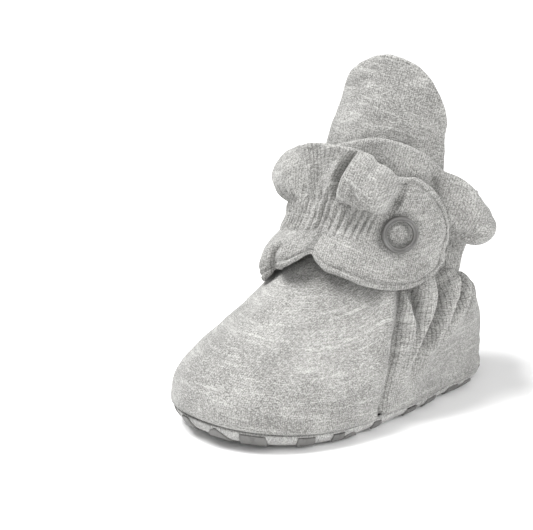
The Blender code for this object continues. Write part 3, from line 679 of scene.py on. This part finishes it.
def frill_grid(rows, gathers, azimuth, radius, share):
    """Frill above the gathers, from their upper line at share 0 to the free edge."""
    degrees = np.degrees(azimuth)[None, :]
    t = share[:, None]
    read = {name: curve_through(rows, name, degrees) * MM for name in Frill._fields[1:7]}
    lean = np.radians(curve_through(rows, "lean", degrees))
    top = curve_through(gathers, "top", degrees) * MM
    out = bezier(0.0, read["foot_out"], read["body_out"], read["edge_out"], t)
    up = bezier(0.0, read["foot_up"], read["body_up"], read["edge_up"], t)
    return azimuth[None, :] + lean * t ** 1.5, radius + out, top + up


def pleats(azimuth, share, seed, end):
    """The gathers' ribs as they run out into the frill, gone at share end."""
    top_ribs = ribs(azimuth[None, :], np.ones((len(share), 1)), seed, RIB_LEAN)
    return top_ribs * RIB_DEPTH * MM * (1 - ease(share / end))[:, None]


def make_quarters(finish):
    side = np.linspace(SEAM_TURN, 1 - SEAM_TURN, QUARTER_COLUMNS)
    seam_azimuth = float(azimuth_of(SEAM_TURN))
    round_heel = azimuth_of(side) % (2 * math.pi)
    lap = np.linspace(LAP_END, seam_azimuth, LAP_COLUMNS + 1)[:-1]
    azimuth = np.concatenate([lap, round_heel])
    level = np.linspace(0, 1, BODY_ROWS)
    base = body_point(side, level)
    normal = grid_normals(base)
    height = level[:, None]
    to_seam = np.minimum(side - SEAM_TURN, 1 - SEAM_TURN - side)[None, :] * GIRTH / MM
    to_seam = to_seam * (1 - NARROWING * height)
    up_mm = height * QUARTER_HEIGHT
    behind = ease((share_of(side) - 0.50) / 0.2)[None, :]
    rise = -2.6 * hill(to_seam, 0, 1.8) * ease((1.0 - height) / 0.08)
    rise = rise + over_sole(up_mm) + 1.0 * hill(height, 0.84, 0.10) * behind
    for spots in QUARTER_FOLDS:
        mirrored = [Spot(1 - s.across, s.up, s.rise * 0.8, s.width * 1.1) for s in spots]
        fold = stroke(base, spots, body_at) + stroke(base, mirrored, body_at)
        rise = rise + FOLD_DEPTH * fold * ease((1.0 - height) / 0.05)
    hanging = ribs(round_heel[None, :], height, BAND_SEED, 0.0)
    rise = rise + 0.95 * hanging * ease((height - 0.45) / 0.55) ** 1.6
    around_mm = side[None, :] * GIRTH / MM
    rise = rise + 0.22 * waves(8, 9, 14, 30, around_mm, up_mm) * ease(up_mm / 8)
    rise = rise + 0.10 * waves(9, 14, 3.0, 8, around_mm, up_mm) * ease(up_mm / 5)
    axis = ankle_point(0.0, 0.0, 1.0) - ankle_point(0.0, 0.0, 0.0)
    climb = BACK_CLIMB * ease((share_of(side) - 0.46) / 0.16)
    raised = base + (climb[None, :] * height ** 4)[..., None] * axis
    skirt = raised + normal * rise[..., None] * MM
    inner_skirt = raised - normal * CLOTH

    degrees = np.degrees(azimuth)
    t = np.linspace(0, 1, GATHER_ROWS)[:, None]
    foot = curve_through(BAND_GATHERS, "foot", degrees)[None, :] * MM
    top = curve_through(BAND_GATHERS, "top", degrees)[None, :] * MM
    foot = np.where(degrees > math.degrees(seam_azimuth), GATHER_FOOT, foot)
    foot[0, LAP_COLUMNS:] += climb
    height = foot + (top - foot) * t
    lapped = ease((SEAM_AZIMUTH - azimuth) / math.radians(25.0))[None, :]
    radius = ANKLE_RADIUS + 0.4 * MM * lapped
    rib = ribs(azimuth[None, :], t, BAND_SEED, RIB_LEAN) * BAND_RIB_SHARE * RIB_DEPTH * MM
    fade = np.sin(math.pi * (0.10 + 0.84 * t)) ** 0.5
    pinch = -0.5 * MM * np.sin(math.pi * t) ** 2
    band = ankle_point(azimuth[None, :], radius + rib * fade + pinch, height)
    band_in = ankle_point(azimuth[None, :], radius - BAND_CLOTH, height)

    share = np.linspace(0, 1, FRILL_ROWS)[1:]
    turned, out, up = frill_grid(BAND_FRILL, BAND_GATHERS, azimuth, radius, share)
    frilled = ankle_point(turned, out + pleats(azimuth, share, BAND_SEED, 0.5), up)

    def at_frill(degree, up_share):
        return frilled[nearest(share, up_share), nearest(degrees, degree)]

    dent = sum(stroke(frilled, spots, at_frill) for spots in BAND_FOLDS)
    frilled = frilled + grid_normals(frilled) * dent[..., None] * MM

    def below(gathered, body):
        """Rows under the gathers; the lap has no body, so its cells are masked out."""
        lap_rows = np.repeat(gathered[:1, :LAP_COLUMNS], BODY_ROWS - 1, 0)
        return np.concatenate([lap_rows, body[:-1]], 1)

    outer = np.concatenate([below(band, skirt), band, frilled])
    frill_in = frilled - grid_normals(outer)[-len(share):] * BAND_CLOTH
    inner = np.concatenate([below(band_in, inner_skirt), band_in, frill_in])
    mask = np.ones((len(outer) - 1, outer.shape[1] - 1), bool)
    mask[:BODY_ROWS - 1, :LAP_COLUMNS] = False
    lengths = flat_lengths(inner)
    lengths[..., 0] = lengths[int(0.6 * BODY_ROWS), :, 0]
    return cloth("quarters", outer, inner, lengths, finish, mask)


# Flap
FLAP_COLUMNS = 300
FLAP_STRIP_ROWS = 26
FLAP_GATHER_ROWS = 28
FLAP_FRILL_ROWS = 40
FLAP_SEED = 31
END_STANDS_OFF = 1.1 * MM
STRIP_SHARES = np.linspace(0, 1, FLAP_STRIP_ROWS) ** 1.4

# Lines of spots on the flap: across in degrees; up runs 0 to 1 over the strip, 1 to 2 over
# the gathers and 2 to 3 over the frill.
FLAP_FOLDS = [
    [Spot(16, 0.9, -0.8, 1.1), Spot(15.5, 0.5, -1, 1.1), Spot(15, 0.15, -0.5, 1)],
    [Spot(12, 0.95, 0.5, 1.2), Spot(8, 0.72, 1, 1.4), Spot(3, 0.5, 1.2, 1.5),
     Spot(-2, 0.28, 1.2, 1.6), Spot(-4, 0.1, 0.8, 1.5)],
    [Spot(6, 0.93, -0.5, 1), Spot(-1, 0.72, -1, 1.1), Spot(-7, 0.52, -1.4, 1.2),
     Spot(-11, 0.3, -1.7, 1.2), Spot(-12.5, 0.06, -1.6, 1.2)],
    [Spot(-12, 0.75, 0.4, 1.5), Spot(-18, 0.5, 0.8, 1.5), Spot(-20, 0.2, 0.8, 1.3)],
    [Spot(52.5, 2.05, -0.6, 0.9), Spot(54, 2.4, -1.1, 1), Spot(55, 2.75, -0.5, 1.1)],
    [Spot(30, 2.46, -0.9, 1), Spot(34, 2.32, -1.5, 1), Spot(39, 2.2, -1.4, 0.9),
     Spot(42, 2.12, -0.6, 0.8)],
    [Spot(36.5, 2.97, -0.9, 1.8), Spot(35.5, 2.7, -0.9, 1.9), Spot(33, 2.5, -0.4, 1.6)],
    [Spot(23.5, 2.15, 0.5, 1.1), Spot(24, 2.5, 0.8, 1.2), Spot(26, 2.85, 0.6, 1.2)],
    [Spot(6, 2.2, -0.4, 1.6), Spot(6, 2.55, -0.7, 1.9), Spot(5, 2.9, -0.5, 1.9)],
]
BAND_FOLDS = [                    # on the band's frill: across in degrees, up 0 to 1
    [Spot(102, 0.36, -0.9, 1.3), Spot(98, 0.24, -1.5, 1.2), Spot(93, 0.08, -1.1, 1.1)],
    [Spot(71, 0.97, -0.8, 1.6), Spot(74, 0.8, -1.3, 1.6), Spot(77, 0.6, -0.7, 1.5)],
]
EDGE_LINE = 1.15                  # the faced edge shows a line this far in, in mm
HEM_SHOWS_FROM = 48               # on the frill's top the line shows past this azimuth
SNAP_ROW = 45                     # row of the flap's grid that runs past the snap


def flap_grid(azimuth):
    degrees = np.degrees(azimuth)[None, :]
    climb = ease((azimuth + SEAM_AZIMUTH) / FLAP_RISE_TURN)[None, :]
    radius = ANKLE_RADIUS + (FLAP_RADIUS - ANKLE_RADIUS) * climb
    radius = radius + END_STANDS_OFF * ease((degrees - 68.0) / 22.0)
    foot = curve_through(FLAP_GATHERS, "foot", degrees) * MM
    top = curve_through(FLAP_GATHERS, "top", degrees) * MM
    strip = {name: curve_through(FLAP_STRIP, name, degrees) * MM for name in Strip._fields[1:]}
    plain_end = ease((degrees - 40.0) / 12.0)

    t = STRIP_SHARES[:-1][:, None]
    edge, belly = strip["edge_height"], strip["belly_out"]
    rise = foot - edge
    low_radius = radius + bezier(strip["edge_out"], belly, belly * 0.55, 0.0, t)
    low_height = bezier(edge, edge + 0.34 * rise, foot - 0.30 * rise, foot, t)

    t = np.linspace(0, 1, FLAP_GATHER_ROWS)[:, None]
    rib = ribs(azimuth[None, :], t, FLAP_SEED, RIB_LEAN) * RIB_DEPTH * MM * (1 - plain_end)
    fade = np.sin(math.pi * (0.06 + 0.88 * t)) ** 0.5
    pinch = -0.7 * MM * np.sin(math.pi * t) ** 2 * (1 - plain_end)
    mid_radius = radius + rib * fade + pinch
    mid_height = foot + (top - foot) * t

    share = np.linspace(0, 1, FLAP_FRILL_ROWS)[1:]
    turned, frill_radius, frill_height = frill_grid(
        FLAP_FRILL, FLAP_GATHERS, azimuth, radius, share)
    frill_radius = frill_radius + pleats(azimuth, share, FLAP_SEED, 0.4) * (1 - plain_end)

    radii = np.concatenate([low_radius, mid_radius, frill_radius])
    heights = np.concatenate([low_height, mid_height, frill_height])
    straight = np.repeat(azimuth[None, :], len(low_radius) + len(mid_radius), 0)
    turns = np.concatenate([straight, turned])
    turn_in = (azimuth - FLAP_ROUND_STARTS) / (FLAP_END - FLAP_ROUND_STARTS)
    turn_in = np.clip(turn_in, 0.0, FLAP_ROUND_STOPS)[None, :]
    squeeze = (1 - turn_in ** FLAP_ROUNDNESS) ** (1 / FLAP_ROUNDNESS)
    heights = FLAP_MIDDLE + (heights - FLAP_MIDDLE) * squeeze
    return ankle_point(turns, radii, heights)


def make_flap(finish):
    start = -float(azimuth_of(SEAM_TURN)) + 0.3 * CLEAR / ANKLE_RADIUS
    stop = FLAP_END - math.radians(0.5)
    k = np.linspace(0, 1, FLAP_COLUMNS)
    azimuth = start + (stop - start) * (k + 0.10 * np.sin(math.pi * k) * k)
    base = flap_grid(azimuth)
    normal = grid_normals(base)
    rows = np.concatenate([STRIP_SHARES[:-1],
                           np.linspace(1, 2, FLAP_GATHER_ROWS),
                           np.linspace(2, 3, FLAP_FRILL_ROWS)[1:]])

    def at_flap(degree, up_share):
        return base[nearest(rows, up_share), nearest(np.degrees(azimuth), degree)]

    rise = np.zeros(base.shape[:2])
    for spots in FLAP_FOLDS:
        rise = rise + stroke(base, spots, at_flap)
    degrees = np.degrees(azimuth)[None, :]
    lengths = flat_lengths(base)
    lengths[..., 0] = lengths[FLAP_STRIP_ROWS // 2, :, 0]
    up_mm = lengths[..., 1] / MM
    from_top = up_mm[-1:, :] - up_mm
    steps = np.linalg.norm(np.diff(base[SNAP_ROW], axis=0), axis=-1)
    end_run = np.concatenate([[0], np.cumsum(steps)]) / MM
    from_end = (end_run[-1] - end_run)[None, :]
    far = 30 * (degrees < HEM_SHOWS_FROM)
    edge = np.minimum(np.minimum(up_mm, from_end), from_top + far)
    rise = rise - 0.55 * hill(edge, EDGE_LINE, 0.32)
    rise = rise + 0.12 * waves(12, 9, 4, 11, lengths[..., 0] / MM, up_mm)
    snap = ankle_point(SNAP_AZIMUTH, FLAP_RADIUS, SNAP_HEIGHT)
    from_snap = np.linalg.norm(base - snap, axis=-1) / MM
    rise = rise - 0.55 * hill(from_snap, 5.6, 1.1) - 0.35 * hill(from_snap, 3.4, 0.7)
    rise = rise + 0.25 * (from_snap < 3.0)
    outer = base + normal * rise[..., None] * MM
    inner = base - normal * BAND_CLOTH
    return cloth("snap_flap", outer, inner, lengths, finish)


# Tongue
TONGUE_COLUMNS = 110
TONGUE_ROWS = 120


def make_tongue(finish):
    across = np.linspace(-1.0, 1.0, TONGUE_COLUMNS)[None, :]
    low = GATHER_FOOT - 2.0 * MM
    k = np.linspace(0, 1, TONGUE_ROWS)[:, None]
    height = low + (TONGUE_TOP - low) * np.sin(math.pi / 2 * k) ** 1.1
    t = np.clip((height - TONGUE_SHOULDER) / (TONGUE_TOP - TONGUE_SHOULDER), 0.0, 0.997)
    half = TONGUE_HALF_WIDTH * (1 - t ** TONGUE_ROUNDNESS) ** (1 / TONGUE_ROUNDNESS)
    turned = TONGUE_TURN * ease((height - GATHER_FOOT) / TONGUE_TURN_HEIGHT)
    azimuth = turned + across * half / TONGUE_RADIUS
    base = ankle_point(azimuth, TONGUE_RADIUS, height)
    normal = grid_normals(base)
    u = across * half / MM
    v = height / MM + 0 * across
    forward = 2.0 * np.clip((v - 26) / 24, 0, None) ** 2
    rise = forward + 0.8 * hill(u, -3, 7) * hill(v, 27, 7) - 0.7 * hill(u, 5, 9) * hill(v, 16, 6)
    rise = rise + 0.30 * waves(15, 9, 9, 20, u, v) + 0.10 * waves(16, 12, 3, 7, u, v)
    outer = base + normal * rise[..., None] * MM
    inner = base + normal * (forward[..., None] * MM - CLOTH)
    lengths = np.stack([u * MM, v * MM], -1)
    return cloth("tongue_lining", outer, inner, lengths, finish)


# Sole
SOLE_COLUMNS = 240
PANEL_RINGS = [0.93, 0.82, 0.70, 0.55, 0.40, 0.25, 0.12]


def closed_stack(rings, middle_low, middle_high):
    """Points and faces of one closed solid from rings of equal length, lowest first."""
    count = len(rings[0])
    points = [p for ring in rings for p in ring] + [middle_low, middle_high]
    low, high = len(points) - 2, len(points) - 1
    top = (len(rings) - 1) * count
    faces = []
    for j in range(count):
        k = (j + 1) % count
        for i in range(0, top, count):
            faces.append([i + j, i + k, i + count + k, i + count + j])
        faces.append([low, k, j])
        faces.append([high, top + j, top + k])
    return points, faces


def stacked(name, rings, middle_low, middle_high, finish):
    points, faces = closed_stack(rings, middle_low, middle_high)
    made = add_mesh(name, points, faces, finish)
    lay_flat(made, [(x / MM, y / MM, 0.0) for x, y, _ in points])
    return made


def inset_ring(inset, height_of):
    plan, out = foot_plan(np.arange(SOLE_COLUMNS) / SOLE_COLUMNS)
    plan = plan - out * inset
    return [(x, y, float(height_of(y))) for x, y in plan]


def shrunk_ring(ring, scale, height_of):
    return [(x * scale, y * scale, float(height_of(y * scale))) for x, y, _ in ring]


def make_sole(finish):
    def below(y):
        return underside(BALL_HALF_WIDTH, y)

    def above(y):
        return SOLE_FLOOR + lift(y)

    insets = np.concatenate([np.linspace(5.4, 2.0, 9), np.linspace(1.85, 0.9, 8)])
    outer = [inset_ring(i * MM, lambda y, i=i: underside(i * MM, y)) for i in insets]
    base = [shrunk_ring(outer[0], scale, below) for scale in PANEL_RINGS[::-1]]
    middle = SEAM_INSET + CLOTH / 2
    crown = []
    for step in range(1, 6):
        angle = math.pi * step / 6
        inset = middle - CLOTH / 2 * math.cos(angle)
        bulge = 0.7 * MM * math.sin(angle) - 0.3 * MM
        crown.append(inset_ring(inset, lambda y, b=bulge: rim_height(y) + b))
    inner = inset_ring(SEAM_INSET + CLOTH, lambda y: rim_height(y) - 0.5 * MM)
    wall = inset_ring(SEAM_INSET + CLOTH + 0.5 * MM, above)
    floor = [shrunk_ring(wall, scale, above) for scale in PANEL_RINGS]
    rings = base + outer + crown + [inner, wall] + floor
    middles = [(0, 0, float(height(0.0))) for height in (below, above)]
    return stacked("sole_panel", rings, *middles, finish)


# Places round the rim that dots reach up to, by share of the turn and radius in mm
RimDot = namedtuple("RimDot", "turn inset radius")
RIM_DOTS = [
    RimDot(0.073, 2.6, 4), RimDot(0.132, 2, 2.7), RimDot(0.171, 1.7, 2),
    RimDot(0.227, 1.7, 1.7), RimDot(0.285, 1.9, 2.4), RimDot(0.322, 2, 2.7),
    RimDot(0.366, 2, 2.7), RimDot(0.455, 2.6, 4), RimDot(-0.02, 2.6, 2.4),
    RimDot(-0.072, 3.2, 3.6), RimDot(-0.128, 2.5, 2), RimDot(-0.168, 3.2, 2.7),
    RimDot(-0.235, 2.6, 2.4), RimDot(-0.3, 3, 2.7), RimDot(-0.345, 2.2, 1.7),
    RimDot(-0.405, 3.4, 3.6),
]
RIM_DOT_GAP = 0.4 * MM


def dot_layout():
    """The CAD source's places for the dots, by the same seeded trials."""
    draw = random.Random(DOT_SEED)
    large = DOT_SIZES[0]
    placed = [(s.x * MM, s.y * MM, large.radius * MM) for s in REST_DOTS]
    for size in DOT_SIZES:
        radius = size.radius * MM
        wanted = size.count - (len(REST_DOTS) if size is large else 0)
        for _ in range(wanted):
            best, best_room = None, -1.0
            for _ in range(DOT_TRIALS):
                x = draw.uniform(-BALL_HALF_WIDTH, BALL_HALF_WIDTH)
                y = draw.uniform(-SOLE_LENGTH / 2, SOLE_LENGTH / 2)
                edge = float(inset_of(x, y))
                if edge < DOT_EDGE + DOT_SHOWN * radius:
                    continue
                room = min(math.hypot(x - a, y - b) - r - radius for a, b, r in placed)
                if room > best_room:
                    best, best_room = (x, y, radius), room
            if best and best_room > DOT_GAP:
                placed.append(best)
    return placed


def dots_shown():
    """The laid-out dots and those that reach up the rim, which the others keep clear of."""
    rim = []
    for dot in RIM_DOTS:
        plan, out = foot_plan(np.array([dot.turn % 1.0]))
        x, y = (plan - out * dot.inset * MM)[0]
        rim.append((float(x), float(y), dot.radius * MM))
    kept = [(x, y, r) for x, y, r in dot_layout()
            if all(math.hypot(x - a, y - b) > r + s + RIM_DOT_GAP for a, b, s in rim)]
    return kept + rim


DOT_SIDES = 40
DOT_EDGE_INSET = 1.0 * MM         # no dot comes nearer to the seam
# From the middle outwards and back into the cloth, by share of the radius; stand in mm
DotRing = namedtuple("DotRing", "share stand")
DOT_RINGS = [
    DotRing(0.45, 0.45), DotRing(0.8, 0.47), DotRing(0.93, 0.5), DotRing(0.985, 0.4),
    DotRing(1, 0.1), DotRing(0.97, -0.3),
]
DOT_MIDDLE = 0.44 * MM
DOT_ROOT = -0.3 * MM


def on_sole(x, y, stand):
    """A point of the sole's underside for a place in plan, kept inside the seam."""
    edge = inset_of(x, y)
    i = int(np.argmin(np.hypot(OUTLINE_X - x, OUTLINE_Y - y)))
    nearest = np.array([OUTLINE_X[i], OUTLINE_Y[i]])
    inwards = np.array([x, y]) - nearest
    inwards = inwards / max(np.linalg.norm(inwards), 1e-9) * (1 if edge > 0 else -1)
    kept = max(edge, DOT_EDGE_INSET)
    if kept > edge:
        x, y = nearest + inwards * kept
    step = 0.1 * MM
    slope = float(underside(kept + step, y) - underside(kept - step, y)) / (2 * step)
    tilt = np.array([inwards[0] * slope, inwards[1] * slope, -1.0])
    tilt /= np.linalg.norm(tilt)
    return np.array([x, y, float(underside(kept, y))]) + tilt * stand


def make_dots(finish):
    """Silicone dots: low discs with a faint raised edge."""
    points, faces = [], []
    angles = [2 * math.pi * k / DOT_SIDES for k in range(DOT_SIDES)]
    for x, y, radius in dots_shown():
        rings = []
        for share, stand in DOT_RINGS:
            reach = radius * share
            rings.append([on_sole(x + reach * math.cos(a), y + reach * math.sin(a), stand * MM)
                          for a in angles])
        middles = on_sole(x, y, DOT_MIDDLE), on_sole(x, y, DOT_ROOT)
        dot_points, dot_faces = closed_stack(rings, *middles)
        faces += [[i + len(points) for i in face] for face in dot_faces]
        points += dot_points
    return add_mesh("gripper_dots", points, faces, finish)


def make_insole(finish):
    def below(y):
        return SOLE_FLOOR + CLEAR + lift(y)

    def above(crown):
        return lambda y: below(y) + INSOLE_THICKNESS * crown

    edge = inset_ring(INSOLE_INSET, below)
    rings = [shrunk_ring(edge, scale, below) for scale in PANEL_RINGS[::-1]] + [edge]
    for inset, crown in ((-0.25, 0.25), (-0.25, 0.6), (0.1, 0.85), (0.8, 1.0)):
        rings.append(inset_ring(INSOLE_INSET + inset * MM, above(crown)))
    rings += [shrunk_ring(rings[-1], scale, above(1.0)) for scale in PANEL_RINGS]
    middles = [(0, 0, float(height(0.0))) for height in (below, above(1.0))]
    return stacked("insole_pad", rings, *middles, finish)


# Ring of the snap, by share of its width from the inner side and rise in shares of its own
RING_PROFILE = [
    (0.00, 0.00), (0.00, 0.45), (0.04, 0.72), (0.12, 0.88), (0.22, 0.90), (0.32, 0.78),
    (0.42, 0.74), (0.52, 0.84), (0.62, 0.98), (0.74, 0.99), (0.87, 0.86), (0.96, 0.60),
    (1.00, 0.30), (1.00, 0.00),
]
RING_SIDES = 96
RING_PLAY = 0.15 * MM             # the shown ring is this much slimmer inside than its solid


def make_ring(finish):
    middle = ankle_point(SNAP_AZIMUTH, FLAP_RADIUS + CLEAR, SNAP_HEIGHT)
    base = ankle_point(SNAP_AZIMUTH, 0.0, 0.0)
    outward = unit(ankle_point(SNAP_AZIMUTH, 1.0, 0.0) - base)
    up = ankle_point(SNAP_AZIMUTH, 0.0, 1.0) - base
    side = np.cross(up, outward)
    inner = SNAP_INNER + RING_PLAY
    points = []
    for k in range(RING_SIDES):
        angle = 2 * math.pi * k / RING_SIDES
        spoke = side * math.cos(angle) + up * math.sin(angle)
        for across, rise in RING_PROFILE:
            reach = inner + across * (SNAP_OUTER - inner)
            points.append(middle + spoke * reach + outward * rise * SNAP_RISE)
    n = len(RING_PROFILE)
    faces = []
    for k in range(RING_SIDES):
        ahead = (k + 1) % RING_SIDES
        for i in range(n):
            j = (i + 1) % n
            faces.append([k * n + i, ahead * n + i, ahead * n + j, k * n + j])
    return add_mesh("snap_ring_face", points, faces, finish)


# Camera of the photograph, 533 x 530: the place on the picture of the origin, pixels to a
# millimetre there, and the distance to it
VIEW_AZIMUTH = math.radians(48.5)
VIEW_ELEVATION = math.radians(20.8)
VIEW_ROLL = math.radians(0.3)
PICTURE = (533, 530)
ORIGIN_AT = (331.6, 399.3)
PIXELS_PER_METRE = 3370.0
DISTANCE = 0.7
SENSOR = 36.0


def make_camera():
    right = Vector((math.cos(VIEW_AZIMUTH), math.sin(VIEW_AZIMUTH), 0.0))
    level = math.cos(VIEW_ELEVATION)
    back = Vector((right.y * level, -right.x * level, math.sin(VIEW_ELEVATION)))
    up = back.cross(right)
    across = right * math.cos(VIEW_ROLL) - up * math.sin(VIEW_ROLL)
    upright = right * math.sin(VIEW_ROLL) + up * math.cos(VIEW_ROLL)
    focal = PIXELS_PER_METRE * DISTANCE
    aim = across * (PICTURE[0] / 2 - ORIGIN_AT[0]) - back * focal
    aim -= upright * (PICTURE[1] / 2 - ORIGIN_AT[1])
    z = -aim.normalized()
    x = (across - z * across.dot(z)).normalized()
    y = z.cross(x)
    data = bpy.data.cameras.new("camera")
    data.sensor_width = SENSOR
    data.lens = focal / PICTURE[0] * SENSOR
    data.clip_start = 0.01
    camera = bpy.data.objects.new("camera", data)
    bpy.context.collection.objects.link(camera)
    camera.matrix_world = Matrix((x, y, z)).transposed().to_4x4()
    camera.matrix_world.translation = back * DISTANCE
    bpy.context.scene.camera = camera


def make_light(name, place, target, size, power):
    data = bpy.data.lights.new(name, "AREA")
    data.energy = power
    data.size = size
    made = bpy.data.objects.new(name, data)
    made.location = place
    made.rotation_mode = "QUATERNION"
    made.rotation_quaternion = (Vector(target) - Vector(place)).to_track_quat("-Z", "Y")
    bpy.context.collection.objects.link(made)


def make_studio():
    world = bpy.data.worlds.new("studio")
    world.use_nodes = True
    sky = world.node_tree.nodes["Background"]
    sky.inputs["Color"].default_value = (1.0, 1.0, 1.0, 1.0)
    sky.inputs["Strength"].default_value = 0.45
    bpy.context.scene.world = world
    bpy.context.scene.view_settings.view_transform = "Standard"
    make_light("key", (-0.24, -0.34, 1.02), (0, 0, 0.03), 0.55, 21.5)
    make_light("side", (0.70, 0.42, 0.40), (0, 0, 0.03), 0.5, 5.0)
    make_light("front", (0.66, -0.50, 0.35), (0, 0, 0.03), 0.6, 2.2)
    mesh = bpy.data.meshes.new("floor")
    reach = 3.0
    corners = [(-reach, -reach, 0), (reach, -reach, 0), (reach, reach, 0), (-reach, reach, 0)]
    mesh.from_pydata(corners, [], [[0, 1, 2, 3]])
    floor = bpy.data.objects.new("floor", mesh)
    bpy.context.collection.objects.link(floor)
    mesh.materials.append(plain("pale_floor", (0.9, 0.9, 0.9), 0.9, 0.01, 20.0))


def stands_for(piece, slot, *nodes):
    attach(piece, "root")
    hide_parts(*nodes)


def build():
    grey = jersey("heather_jersey", (0.130, 0.128, 0.122), (0.475, 0.472, 0.454), 0.6)
    ribbed = jersey("ribbed_jersey", (0.130, 0.128, 0.122), (0.475, 0.472, 0.454), 0.9)
    under = jersey("sole_jersey", (0.20, 0.198, 0.19), (0.56, 0.558, 0.545), 0.6)
    rubber = plain("dot_silicone", (0.135, 0.133, 0.128), 0.62, 0.06, 1400.0)
    enamel = plain("ring_enamel", (0.085, 0.083, 0.079), 0.32, 0.03, 700.0, coat=0.5)
    stands_for(make_vamp(grey), "jersey", "upper")
    stands_for(make_quarters(ribbed), "jersey", "upper")
    stands_for(make_flap(ribbed), "jersey", "flap")
    stands_for(make_tongue(grey), "jersey", "tongue")
    stands_for(make_sole(under), "gripper_sole", "sole")
    stands_for(make_dots(rubber), "gripper_sole", "sole")
    stands_for(make_insole(under), "lining", "insole")
    stands_for(make_ring(enamel), "ring_enamel", "snap_ring")


build()
make_camera()
make_studio()
bpy.context.view_layer.update()
